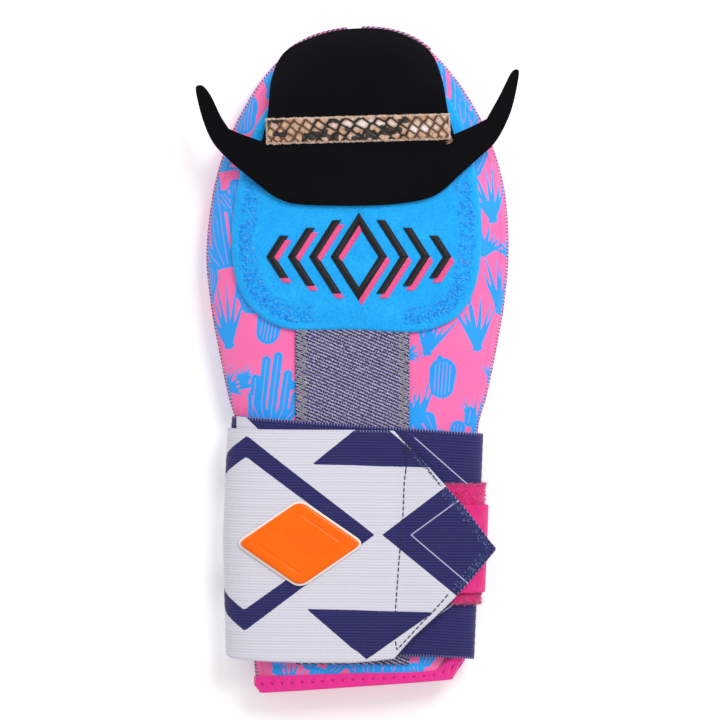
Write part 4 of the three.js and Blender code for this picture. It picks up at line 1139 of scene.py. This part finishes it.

# Embossed and printed leather with a satin lacquer: cream and tan scales, brown in their seams, with fine
# lines along each scale. A painted shade of mid brown darkens each scale towards its seams, as on a dome.
snakeskin, tree, shader, place = start_material("printed_snakeskin", 0.42)
mark = {m: node(tree, "Attribute", attribute_name=m)["Fac"] for m in marks}
fine = node(tree, "TexNoise", {"Vector": place, "Scale": 1.6, "Detail": 4, "Roughness": 0.7})["Fac"]
brown = node(tree, "TexNoise", {"Vector": place, "Scale": 0.45, "Detail": 3})["Fac"]
brown = node(tree, "MapRange", {0: brown, 1: 0.4, 2: 0.62, 3: 0.1, 4: 0.85})[0]
tone = node(tree, "Mix", {0: brown, 6: linear("#DCB898"), 7: linear("#A06E4C")}, data_type="RGBA")[2]
tone = node(tree, "Mix", {0: mark["pale"], 6: tone, 7: linear("#EFE4E0")}, data_type="RGBA")[2]
streak = node(tree, "MapRange", {0: fine, 1: 0.5, 2: 0.68, 3: 0.0, 4: 0.75})[0]
tone = node(tree, "Mix", {0: streak, 6: tone, 7: linear("#6E4429")}, data_type="RGBA")[2]
# Painted shade: mid brown over each scale's sides, where its dome falls towards the seams.
slope = node(tree, "MapRange", {0: mark["seam"], 1: 0.8, 2: 2.8, 3: 0.7, 4: 0.0})[0]
tone = node(tree, "Mix", {0: slope, 6: tone, 7: linear("#8A5C40")}, data_type="RGBA")[2]
gap = node(tree, "MapRange", {0: mark["seam"], 1: 0.3, 2: 1.3, 3: 0.95, 4: 0.0})[0]
tone = node(tree, "Mix", {0: gap, 6: tone, 7: linear("#432A1E")}, data_type="RGBA")[2]
ink = node(tree, "Math", {0: mark["black"], 1: fine, 2: mark["black"]}, operation="MULTIPLY_ADD")[0]
ink = node(tree, "MapRange", {0: ink, 1: 0.3, 2: 0.95, 3: 0.0, 4: 0.97})[0]
tone = node(tree, "Mix", {0: ink, 6: tone, 7: linear("#120E0E")}, data_type="RGBA")[2]
rim = node(tree, "Math", {0: mark["hem"], 1: 0.7}, operation="MULTIPLY")[0]
tone = node(tree, "Mix", {0: rim, 6: tone, 7: linear("#D3B7A6")}, data_type="RGBA")[2]
tree.links.new(tone, shader.inputs["Base Color"])
tree.links.new(node(tree, "Bump", {"Height": fine, "Distance": 0.00015})[0], shader.inputs["Normal"])
shader.inputs["Coat Weight"].default_value = 0.2
band.data.materials.append(snakeskin)
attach(band, "root")
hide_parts("hat_band")


def band_top(x, y):
    """The hat's top, the gap and the band's thickness."""
    return hat_top(x, y) + GAP + BAND_THICKNESS


# Cream stitches 0.7 mm inside the band's edges, and the thread's loose end at its lower right corner.
frame_line = np.array([[-39.8, -5.1], [39.8, -5.1], [39.8, 5.1], [-39.8, 5.1], [-39.8, -5.1]])
frame_line = np.stack(band_place(*frame_line.T), 1)
stitches = running_stitches(frame_line, 0.4, way_along(frame_line)[-1] - 1, 1.9, 1.35, band_top, 0.1)
stitches[..., 2] -= 0.25
t = np.linspace(0, 1, 5)
turns = np.array([[4], [7]]) * t
x, y = band_place(39.5 + 1.6 * np.sin(turns), -5.2 - 2.2 * t + 0.5 * np.cos(turns))
loose = np.stack([x, y, band_top(x, y) - 0.2 - 0.5 * t], -1)
band_stitches = threads("band_stitches", np.concatenate([stitches, loose]), 0.2)

# Cream cotton thread, soiled in places.
cream = thread_material(
    "cream_cotton_thread", ("#E8D3C6", "#A67C66"), 0.7, 0.1, scale=0.5, detail=3, span=(0.4, 0.62)
)
band_stitches.data.materials.append(cream)
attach(band_stitches, "root")

# Wrist strap.
# Four inch woven elastic with flat ribs, printed in navy on white. It starts below the palm, passes over the
# back as its inner layer, goes round once more and ends in a point, whose cut edges are zigzagged.
STRAP_THICKNESS = 1.4
LAYER = STRAP_THICKNESS + GAP
STRAP_TOP = -31
RIB = 1.25
PICK = 0.8
SELVEDGE_DOT = 1.3
PRINT_PERIOD = 231.8
PRINT_MIDDLE = -76.9
WRIST = np.array([[-140, 54.8, 49.8, 21, 3.1], [-78, 56.3, 52.3, 22.2, 3.1], [-20, 53.8, 54.6, 23.3, 3.1]])
STRAP_EDGES = np.array([
    [-630, -30.8, -133.2], [-560, -30.2, -131], [-540, -30, -129], [-450, -31, -131], [-360, -32.8, -132.2],
    [-270, -29, -130.4], [-180, -25.8, -127.4], [-85, -28, -129],
])  # turn round the wrist in degrees, upper and lower edge
STRAP_POINT = np.array([
    [-1.6, -30.8, -133.2], [8, -31, -132.3], [16, -31.2, -131.4], [24, -39.6, -122.2], [31, -46.8, -115.7],
    [38, -54.6, -109.2], [46, -63.6, -101], [53, -72.6, -92.8], [58, -79.4, -86.7], [60.5, -82.3, -83.6],
])  # place across the back, upper and lower edge


def wrist_section(y, offset):
    """Centre, half width, middle height and half height of the strap's oval, linear along the wrist."""
    left, right, top, bottom = (np.interp(y, WRIST[:, 0], WRIST[:, k]) for k in (1, 2, 3, 4))
    return (right - left) / 2, (right + left) / 2 + offset, (top + bottom) / 2, (top - bottom) / 2 + offset


def round_wrist(turn, y, offset):
    """Point at a turn on a superellipse: its cosine to the power 1/3 across, its sine to the power 0.8 up."""
    centre, across, middle, up = wrist_section(y, offset)
    c, s = np.cos(np.radians(turn)), np.sin(np.radians(turn))
    x = centre + across * np.sign(c) * np.abs(c) ** (1 / 3)
    return np.stack(np.broadcast_arrays(x, y, middle + up * np.sign(s) * np.abs(s) ** 0.8), -1)


def over_wrist(x, y, offset):
    """Height of the same superellipse above a place on the back."""
    centre, across, middle, up = wrist_section(y, offset)
    return middle + up * (1 - np.clip(np.abs((x - centre) / across), 0, 1) ** 6) ** 0.4


def outer_layer(x, y, depth):
    """The outer layer follows the oval to x = 30 and runs straight on, and its point lies a little higher."""
    return over_wrist(np.minimum(x, 30), y, LAYER + depth) + 2.2 * smoothstep(x, 16, 38)


def strap_top(x, y):
    """Height of the outer layer's outer face: one thickness above its inner face."""
    return outer_layer(x, y, STRAP_THICKNESS)


def turns_by_length(start, end, step):
    """Turns that follow each other at equal lengths round the wrist, and those lengths."""
    turn = np.unique(np.concatenate([
        np.linspace(end, start, 3000),
        (np.arange(-4, 2)[:, None] * 180 + np.degrees(np.arccos(np.linspace(-1, 1, 1500) ** 3))).ravel(),
    ]))[::-1]
    turn = turn[(turn <= start) & (turn >= end)]
    way = way_along(round_wrist(turn, np.full(turn.shape, -80.0), LAYER)[:, [0, 2]])
    chosen = np.searchsorted(way, np.linspace(0, way[-1] - 1e-6, int(way[-1] / step) + 1))
    return turn[chosen], way[chosen]


def polygon_depth(a, y, corners):
    """Depth inside a convex polygon, below zero outside it: the least distance to its sides' lines."""
    corners = np.array(corners, float)
    ahead = unit(np.roll(corners, -1, 0) - corners)
    if np.cross(ahead[0], ahead[1]) < 0:
        ahead = -ahead
    return np.minimum.reduce([(y - c[1]) * t[0] - (a - c[0]) * t[1] for c, t in zip(corners, ahead)])


def diamond(a, y, half, up, down):
    """Depth inside a diamond on the strap's middle line, from its half length and its reach up and down."""
    corners = [(half, 0), (0, up), (-half, 0), (0, -down)]
    return polygon_depth(a, y, [(x, PRINT_MIDDLE + rise) for x, rise in corners])


def strap_print(a, y):
    """Depth inside the navy print, and signed distance to its thin pale line. Along the strap, outlined and
    filled diamonds take turns, with a triangle at both edges where they meet."""
    half = PRINT_PERIOD / 2
    outlined = np.mod(a + 48.8 + half, PRINT_PERIOD) - half
    filled = np.mod(a - 67.1 + half, PRINT_PERIOD) - half
    meeting = np.mod(a - 9.15 + half / 2, half) - half / 2
    navy = np.maximum.reduce([
        np.minimum(diamond(outlined, y, 56.3, 43, 42.8), -diamond(outlined, y, 46.1, 33.7, 33.5)),
        diamond(filled, y, 56.3, 43, 46),
        polygon_depth(meeting, y, [(-29.6, -46.2), (23.4, -47.3), (2.4, -29), (-9.5, -29)]),
        polygon_depth(meeting, y, [(-30.8, -109.6), (24.3, -110.8), (-5.2, -131.7)]),
    ])
    return navy, diamond(filled, y, 43.6, 32, 37)


def inner_print(x, y):
    """The same for the inner layer where it shows: navy, but for a white stripe beside the left bend."""
    stripe = (x + 49.1) * 0.7 + (y + 25.2) * 0.715
    upper = ((x - 23.4) * 22.4 + (y + 32.8) * 25.4) / np.hypot(22.4, 25.4)
    lower = ((x - 36.1) * -4.2 + (y + 111.8) * 5.9) / np.hypot(4.2, 5.9)
    return np.maximum.reduce([-53.2 - x, stripe, -45 - y]), np.where(y > -85, upper, lower)


turn, way = turns_by_length(-85, -630, 1.25)
reach = np.unique(np.concatenate([np.linspace(0.2, 60.5, 50), STRAP_POINT[1:, 0]]))
upper, lower = (
    np.concatenate([
        np.interp(turn, STRAP_EDGES[:, 0], STRAP_EDGES[:, edge]),
        np.interp(reach, STRAP_POINT[:, 0], STRAP_POINT[:, edge]),
    ])
    for edge in (1, 2)
)
offset = LAYER * np.clip((-405 - turn) / 35, 0, 1)
wound, straight = slice(0, len(turn)), slice(len(turn), None)

# The inner layer's upper edge shows above the outer layer: a straight line that falls to the right.
over_back = (turn <= -180) & (turn >= -360)
across = round_wrist(turn, np.full(turn.shape, -30.0), 0)[:, 0]
upper[wound][over_back] = -28.7 - 0.07 * across[over_back]


def strap_face(share, depth):
    """One face of the strap: what winds round the wrist, then the point. Depth is from its inner side."""
    y = upper[:, None] + (lower - upper)[:, None] * share
    depth = np.broadcast_to(depth, y.shape)
    first = round_wrist(turn[:, None], y[wound], offset[:, None] + depth[wound])
    x = np.broadcast_to(reach[:, None], y[straight].shape)
    last = np.stack([x, y[straight], outer_layer(x, y[straight], depth[straight])], -1)
    return np.concatenate([first, last])


share = np.concatenate([[0, 0.0025, 0.006], np.linspace(0.01, 0.99, 140), [0.994, 0.9975, 1]])[None, :]
width = (upper - lower)[:, None]
edge = np.minimum(share, 1 - share) * width
along_strap = np.concatenate([way - way[-1] - 1.6, reach])
straight_edge = np.where(along_strap < 8, upper, STRAP_TOP)[:, None]
rib = straight_edge - (upper[:, None] - share * width)
cut = np.broadcast_to(along_strap[:, None], rib.shape)
outer = strap_face(share, STRAP_THICKNESS - rounded(edge, 0.55) + 0.05 * np.cos(2 * np.pi * rib / 3.7))
inner = strap_face(np.linspace(0, 1, 21)[None, :], np.where(np.arange(21) % 20 == 0, 0.35, 0.0))
navy, thin = strap_print(cut, STRAP_TOP - rib)
shown = ((turn < -160) & (turn > -400))[:, None]
inner_navy, inner_thin = inner_print(outer[wound, :, 0], outer[wound, :, 1])
inner_thin = np.where(edge[wound] < 3.6, np.where(inner_thin > 0, 9, -9), inner_thin)
navy[wound] = np.where(shown, inner_navy, navy[wound])
thin[wound] = np.where(shown, inner_thin, thin[wound])
hem = np.broadcast_to(edge, rib.shape)
marks = {"navy": navy, "thin": thin, "rib": rib, "hem": hem, "along": cut}
strap = shell("woven_strap", outer, inner, marks)

# Plush-faced polyester elastic, heat printed: matt and even, the ribs show as faint grey lines on the white
# and dark dots on the navy. Its picks are 0.4 mm in fact and drawn at 0.8 mm.
elastic, tree, shader, place = start_material("printed_woven_elastic", 0.8, 0.12)
mark = {m: node(tree, "Attribute", attribute_name=m)["Fac"] for m in marks}
wander = node(tree, "TexNoise", {"Vector": place, "Scale": 0.9, "Detail": 3})["Fac"]
spread = node(tree, "Math", {0: wander, 1: 0.3, 2: mark["navy"]}, operation="MULTIPLY_ADD")[0]
inked = node(tree, "MapRange", {0: spread, 1: 0.06, 2: 0.26})[0]
ribs = node(tree, "Math", {0: mark["rib"], 1: 2 * np.pi / RIB}, operation="MULTIPLY")[0]
ribs = node(tree, "Math", {0: ribs}, operation="COSINE")[0]
picks = node(tree, "Math", {0: mark["along"], 1: 2 * np.pi / PICK}, operation="MULTIPLY")[0]
picks = node(tree, "Math", {0: picks}, operation="COSINE")[0]
weave = node(tree, "Math", {0: picks, 1: 0.3, 2: ribs}, operation="MULTIPLY_ADD")[0]
weave = node(tree, "Math", {0: wander, 1: 1.2, 2: weave}, operation="MULTIPLY_ADD")[0]
white_shade = node(tree, "MapRange", {0: weave, 1: -0.4, 2: 0.6})[0]
whites = {6: linear("#D0CEDA"), 7: linear("#DAD8E4")}
white_tone = node(tree, "Mix", {0: white_shade, **whites}, data_type="RGBA")[2]
navy_shade = node(tree, "MapRange", {0: weave, 1: -0.6, 2: 1.6})[0]
navies = {6: linear("#1D1B4A"), 7: linear("#302F70")}
navy_tone = node(tree, "Mix", {0: navy_shade, **navies}, data_type="RGBA")[2]
tone = node(tree, "Mix", {0: inked, 6: white_tone, 7: navy_tone}, data_type="RGBA")[2]
pale = node(tree, "Math", {0: mark["thin"]}, operation="ABSOLUTE")[0]
pale = node(tree, "MapRange", {0: pale, 1: 0.1, 2: 0.34, 3: 0.85, 4: 0.0})[0]
tone = node(tree, "Mix", {0: pale, 6: tone, 7: linear("#CFCBEA")}, data_type="RGBA")[2]
dots = node(tree, "Math", {0: mark["along"], 1: 2 * np.pi / SELVEDGE_DOT}, operation="MULTIPLY")[0]
dots = node(tree, "Math", {0: dots}, operation="COSINE")[0]
dots = node(tree, "MapRange", {0: dots, 1: 0.2, 2: 0.8})[0]
selvedge = node(tree, "MapRange", {0: mark["hem"], 1: 0.5, 2: 1.2, 3: 0.6, 4: 0.0})[0]
dots = node(tree, "Math", {0: dots, 1: selvedge}, operation="MULTIPLY")[0]
tone = node(tree, "Mix", {0: dots, 6: tone, 7: linear("#A9A5C6")}, data_type="RGBA")[2]
tree.links.new(tone, shader.inputs["Base Color"])
tree.links.new(node(tree, "Bump", {"Height": weave, "Distance": 0.00005})[0], shader.inputs["Normal"])
strap.data.materials.append(elastic)
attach(strap, "root")
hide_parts("wrist_strap")

# Running stitches where the point's lining is sewn in: down from its upper corner, and along both cut edges.
sewing = [
    (2.7, [
        [21.3, -37.2], [21.5, -45.8], [20.5, -53.6], [19.9, -69.3], [18.2, -88.2], [16.7, -109.3],
        [16.3, -121.9], [17.3, -127.4], [28.1, -115.6], [32.7, -111], [40.1, -102.5],
    ]),
    (1.9, [[18.2, -33.2], [22.8, -38.4], [29.6, -46.2], [33.4, -51.2], [37, -56.2]]),
    (1.25, [[21.3, -36.5], [21.5, -45.8], [20.8, -52]]),
    (1.25, [[23.3, -38.6], [28.2, -44.2]]),
]  # stitch length with its gap, and the line
stitches = []
for pitch, line in sewing:
    line = np.array(line)
    last = way_along(line)[-1] - 2
    stitches.append(running_stitches(line, 0, last, pitch, pitch * 0.85, strap_top, 0.22))

# The point's lower cut edge was sealed with heat and stands off the layer below. A dark line of thread under
# it is partly that dark sealed edge and partly a painted shadow.
cut_edge = np.array([[17.4, -130.4], [24, -122.7], [31, -116.2], [38, -109.7], [42.2, -105.4]])
last = way_along(cut_edge)[-1] - 2
dark_edge_and_shadow = running_stitches(cut_edge, 0, last, 2, 2.1, strap_top, 0.05)
dark_edge_and_shadow[..., 2] -= 0.9
stitches.append(dark_edge_and_shadow)

# A knot of thread at the upper end of the first line.
t = np.linspace(0, 1, 5)
turns = np.arange(4)[:, None] + 4 * t
x, y = 21.2 + 0.8 * np.cos(turns), -38.2 - 2.2 * t + 0.8 * np.sin(turns)
stitches.append(np.stack([x, y, strap_top(x, y) + 0.3 * np.sin(np.pi * t)], -1))
strap_seam = threads("strap_stitches", np.concatenate(stitches), 0.27)

# Navy bonded polyester thread, nearly black in the shade.
navy_thread = thread_material(
    "navy_polyester_thread", ("#0D1026", "#343A6B"), 0.5, 0.1, scale=0.9, detail=2
)
strap_seam.data.materials.append(navy_thread)
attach(strap_seam, "root")

# Zigzag over the point's cut edges, in textured thread: three rows of short, uneven stitches.
cut_line = np.array([
    [24.6, -41.2], [31, -47.9], [38, -55.7], [46, -64.7], [53, -73.7],
    [59, -82.3], [59, -83.6], [53, -91.4], [46, -99.6], [42, -103.2],
])
random = np.random.default_rng(31)
zigzag_paths = []
for row in range(3):
    at = np.arange(0.3, way_along(cut_line)[-1] - 1, 0.85)
    at = at + random.uniform(-0.3, 0.3, len(at))
    start = walk(cut_line, at)
    ahead = unit(walk(cut_line, at + 0.6) - start)
    inward = np.stack([ahead[:, 1], -ahead[:, 0]], 1)
    lean = random.uniform(-0.7, 0.7, len(at))[:, None]
    near = start + inward * (0.1 + 1.15 * row)
    far = near + inward * random.uniform(0.9, 1.5, len(at))[:, None] + ahead * lean
    kept = random.uniform(0, 1, len(at)) < (0.95 if row < 2 else 0.6)
    kept &= (start[:, 0] > 38) | (row == 0)
    zigzag_paths.append(np.stack([near, (near + far) / 2, far], 1)[kept])
zigzag_paths = np.concatenate(zigzag_paths)
z = strap_top(zigzag_paths[..., 0], zigzag_paths[..., 1]) - 0.06 + np.array([-0.05, 0.2, -0.05])
edge_zigzag = threads("point_zigzag", np.concatenate([zigzag_paths, z[..., None]], -1), 0.17)

# Space-dyed textured polyester thread, navy to pale blue.
mixed_thread = thread_material(
    "blue_mixed_thread", ("#2A2F6E", "#7E9CCB"), 0.65, 0.15, scale=0.75, detail=2, span=(0.42, 0.68)
)
edge_zigzag.data.materials.append(mixed_thread)
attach(edge_zigzag, "root")

# Fastener.
# A strip of napped loop tape lies on the strap's inner layer and bends round the right side of the wrist. A
# shorter tab of hook tape on it, back outwards, closes the strap and shows beside the point.
LOOP = (-54.8, -107.1, 74, -34)
TAB = (-64, -102.5, 71, -30)  # upper and lower edge, turns of its ends
LOOP_THICKNESS = 1.3
TAB_THICKNESS = 1.7
LOOP_COUNT = 2600
LOOP_TOP = LAYER + LOOP_THICKNESS


def side_tape(size, step):
    """Plan of a tape that bends round the side: turns, places along the wrist, distance to its edges and
    distance round the wrist."""
    upper, lower, start, end = size
    turn, way = turns_by_length(start, end, step)
    y = np.linspace(upper, lower, int((upper - lower) / step) + 1)[None, :]
    edge = np.minimum(np.minimum(upper - y, y - lower), np.minimum(way, way[-1] - way)[:, None])
    return turn[:, None], y, edge, np.broadcast_to(way[:, None], edge.shape)


turn, y, edge, way = side_tape(LOOP, 0.55)
across = np.broadcast_to(y, edge.shape)
clumps = 0.16 * rough(way, across, 1.6, 41) + 0.14 * rough(way, across, 0.9, 42)
top = LOOP_TOP - rounded(edge, 0.9) + clumps - 0.1
hidden = (edge > 1) & (across < TAB[0] - 0.5) & (across > TAB[1] + 0.5)
top = np.where(hidden, LOOP_TOP - 0.1, top)
pile = shell("loop_pile_strip", round_wrist(turn, across, top), round_wrist(turn, across, LAYER + 0.05))

# Napped nylon loop pile, deep pink in its hollows and paler where the loops catch light.
nylon, tree, shader, place = start_material("napped_nylon_loops", 0.9, 0.3)
nap = node(tree, "TexNoise", {"Vector": place, "Scale": 1.3, "Detail": 4, "Roughness": 0.7})["Fac"]
clump = node(tree, "TexNoise", {"Vector": place, "Scale": 0.3, "Detail": 2})["Fac"]
mixed = node(tree, "Math", {0: clump, 1: 0.8, 2: nap}, operation="MULTIPLY_ADD")[0]
mixed = node(tree, "MapRange", {0: mixed, 1: 0.72, 2: 1.15})[0]
tone = node(tree, "Mix", {0: mixed, 6: linear("#D8086E"), 7: linear("#EC2C8A")}, data_type="RGBA")[2]
tree.links.new(tone, shader.inputs["Base Color"])
tree.links.new(node(tree, "Bump", {"Height": nap, "Distance": 0.0003})[0], shader.inputs["Normal"])
pile.data.materials.append(nylon)
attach(pile, "root")
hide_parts("loop_strip")

# Single loops stand up from the pile and over its edges: small arches, more of them near the edges.
random = np.random.default_rng(43)
above = random.uniform(0, 1, LOOP_COUNT) < 0.55
y_above = random.uniform(LOOP[0] - 10, LOOP[0] + 0.2, LOOP_COUNT)
y_below = random.uniform(LOOP[1] - 0.2, LOOP[1] + 6, LOOP_COUNT)
y = np.where(above, y_above, y_below)
rim = random.uniform(0, 1, LOOP_COUNT) < 0.3
y = np.where(rim, np.where(y > -80, LOOP[0], LOOP[1]) + random.normal(0, 0.3, LOOP_COUNT), y)
root = random.choice(turns_by_length(LOOP[2] - 2, LOOP[3] + 2, 0.2)[0], LOOP_COUNT)
point = round_wrist(root, y, LOOP_TOP - 0.15)
lean = random.normal(0, 0.45, (LOOP_COUNT, 3))
out = round_wrist(root, y, LOOP_TOP + 0.45) - point
arches = np.stack([point, point + out * 0.9 + lean * 0.5, point + out * 0.3 + lean * 1.2], 1)
fuzz = threads("pile_loops", arches, 0.07, 3)

# The same yarn where light shines through single loops.
loose_nylon = thread_material(
    "loose_nylon_loops", ("#E63A8A", "#F87DB6"), 0.8, 0.3, scale=0.6, detail=2
)
fuzz.data.materials.append(loose_nylon)
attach(fuzz, "root")

# The tab lies on the pile, and its edges are cut and sealed.
turn, y, edge, way = side_tape(TAB, 0.6)
across = np.broadcast_to(y, edge.shape)
tab_bottom = LOOP_TOP + GAP
top = tab_bottom + TAB_THICKNESS - rounded(edge, 0.35) + 0.04 * rough(way, across, 1.2, 44)
tab = shell("hook_tape_tab", round_wrist(turn, across, top), round_wrist(turn, across, tab_bottom))

# Back of woven nylon hook tape: a close weave, nearly smooth. Its threads are 0.4 mm and drawn at 0.8 mm.
hooks, tree, shader, place = start_material("woven_hook_tape", 0.75, 0.1)
weave = node(tree, "TexNoise", {"Vector": place, "Scale": 1.25, "Detail": 2})["Fac"]
cloudy = node(tree, "TexNoise", {"Vector": place, "Scale": 0.15, "Detail": 2})["Fac"]
mixed = node(tree, "Math", {0: cloudy, 1: 0.8, 2: weave}, operation="MULTIPLY_ADD")[0]
mixed = node(tree, "MapRange", {0: mixed, 1: 0.7, 2: 1.15})[0]
tone = node(tree, "Mix", {0: mixed, 6: linear("#D61C74"), 7: linear("#E33483")}, data_type="RGBA")[2]
tree.links.new(tone, shader.inputs["Base Color"])
tree.links.new(node(tree, "Bump", {"Height": weave, "Distance": 0.0001})[0], shader.inputs["Normal"])
tab.data.materials.append(hooks)
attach(tab, "root")
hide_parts("hook_tab")

# Badge.
# A plain lozenge of moulded soft plastic, welded on the strap: a domed, glossy body on a pale base sheet,
# whose rim shows round it.
BADGE_PLACE = np.array([-25.3, -80.7])
BADGE_HALF = (29, 20)
BADGE_CORNER = 5
BADGE_BASE = 0.65
BADGE_RIM = 0.9


def rounded_lozenge():
    """Outline of a lozenge, whose corners are quadratic curves that start 5 mm before them."""
    corners = np.array([[1, 0], [0, 1], [-1, 0], [0, -1]]) * np.array(BADGE_HALF, float)
    share = BADGE_CORNER / np.hypot(*BADGE_HALF)
    t = np.linspace(0, 1, 13)[:, None]
    line = []
    for k in range(4):
        enter = corners[k] + (corners[k - 1] - corners[k]) * share
        leave = corners[k] + (corners[(k + 1) % 4] - corners[k]) * share
        line.append(enter * (1 - t) ** 2 + 2 * corners[k] * t * (1 - t) + leave * t**2)
    line = np.concatenate(line) + BADGE_PLACE
    return np.concatenate([line, line[:1]])


def between_points(line, step):
    """The same line with points at equal distances."""
    whole = way_along(line)[-1]
    return walk(line, np.linspace(0, whole - 1e-6, int(whole / step) + 1))


lozenge = between_points(rounded_lozenge(), 0.4)
lozenge[-1] = lozenge[0]
x, y = disc_grid(lozenge, BADGE_PLACE, 110)
edge = line_distance(x, y, lozenge)
body = roll((edge - BADGE_RIM) / 1.5) * (edge > BADGE_RIM)
groove = np.exp(-(((edge - 5.6) / 0.55) ** 2))
dome = 0.25 * smoothstep(edge, 2, 14)
base = strap_top(x, y) + GAP
top = base + BADGE_BASE - rounded(edge, 0.35) + 1.3 * body + dome - 0.28 * groove
faces = [np.stack([x, y, z], -1) for z in (top, base)]
badge = shell("moulded_badge", *faces, {"edge": edge})

# Soft PVC, injected in two colours: glossy orange with faint flow clouds, milky white at the rim.
pvc, tree, shader, place = start_material("soft_moulded_pvc", 0.16, 0.0, 0.2)
rim = node(tree, "Attribute", attribute_name="edge")["Fac"]
rim = node(tree, "MapRange", {0: rim, 1: 0.8, 2: 1.05, 3: 1.0, 4: 0.0})[0]
cloud = node(tree, "TexNoise", {"Vector": place, "Scale": 0.07, "Detail": 2})["Fac"]
tone = node(tree, "Mix", {0: cloud, 6: linear("#FF6000"), 7: linear("#FF7200")}, data_type="RGBA")[2]
tone = node(tree, "Mix", {0: rim, 6: tone, 7: linear("#F6E6DE")}, data_type="RGBA")[2]
tree.links.new(tone, shader.inputs["Base Color"])
tree.links.new(node(tree, "Bump", {"Height": cloud, "Distance": 0.0006})[0], shader.inputs["Normal"])
badge.data.materials.append(pvc)
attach(badge, "root")
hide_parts("strap_badge")

# Table, light and camera.
# The mitt lies on a plain white table below a white sky, with one large soft lamp to the upper right. The
# camera looks straight down from 2.2 m.
TABLE_HALF = 3
TABLE_DROP = 0.0003
table = bpy.data.objects.new("table", bpy.data.meshes.new("table"))
sides = [(-1, -1), (1, -1), (1, 1), (-1, 1)]
corners = [(TABLE_HALF * x, TABLE_HALF * y, -TABLE_DROP) for x, y in sides]
table.data.from_pydata(corners, [], [(0, 1, 2, 3)])
bpy.context.scene.collection.objects.link(table)

# Matt white paper with a barely visible tooth of 1.5 mm, lit a little from below as for a catalogue.
paper, tree, shader, place = start_material("matt_white_paper", 0.9)
shader.inputs["Emission Color"].default_value = (1, 1, 1, 1)
shader.inputs["Emission Strength"].default_value = 0.2
tooth = node(tree, "TexNoise", {"Vector": place, "Scale": 0.7, "Detail": 2})["Fac"]
tone = node(tree, "Mix", {0: tooth, 6: linear("#FAFAFA"), 7: linear("#FDFDFD")}, data_type="RGBA")[2]
tree.links.new(tone, shader.inputs["Base Color"])
table.data.materials.append(paper)

sky = bpy.data.worlds.new("white_sky")
bpy.context.scene.world = sky
sky.use_nodes = True
sky.node_tree.nodes["Background"].inputs["Color"].default_value = (1, 1, 1, 1)
sky.node_tree.nodes["Background"].inputs["Strength"].default_value = 0.7
lamp = bpy.data.objects.new("soft_lamp", bpy.data.lights.new("soft_lamp", "AREA"))
lamp.data.energy = 9
lamp.data.size = 0.6
lamp.location = (0.5, 0.65, 1.0)
lamp.rotation_euler = (-0.58, 0.46, 0)
bpy.context.scene.collection.objects.link(lamp)
camera = bpy.data.objects.new("camera", bpy.data.cameras.new("camera"))
camera.data.lens = 250
camera.data.sensor_width = 36
camera.data.clip_end = 20
camera.location = (0.0011, -0.0002, 2.218)
bpy.context.scene.collection.objects.link(camera)
bpy.context.scene.camera = camera
bpy.context.scene.view_settings.view_transform = "Standard"
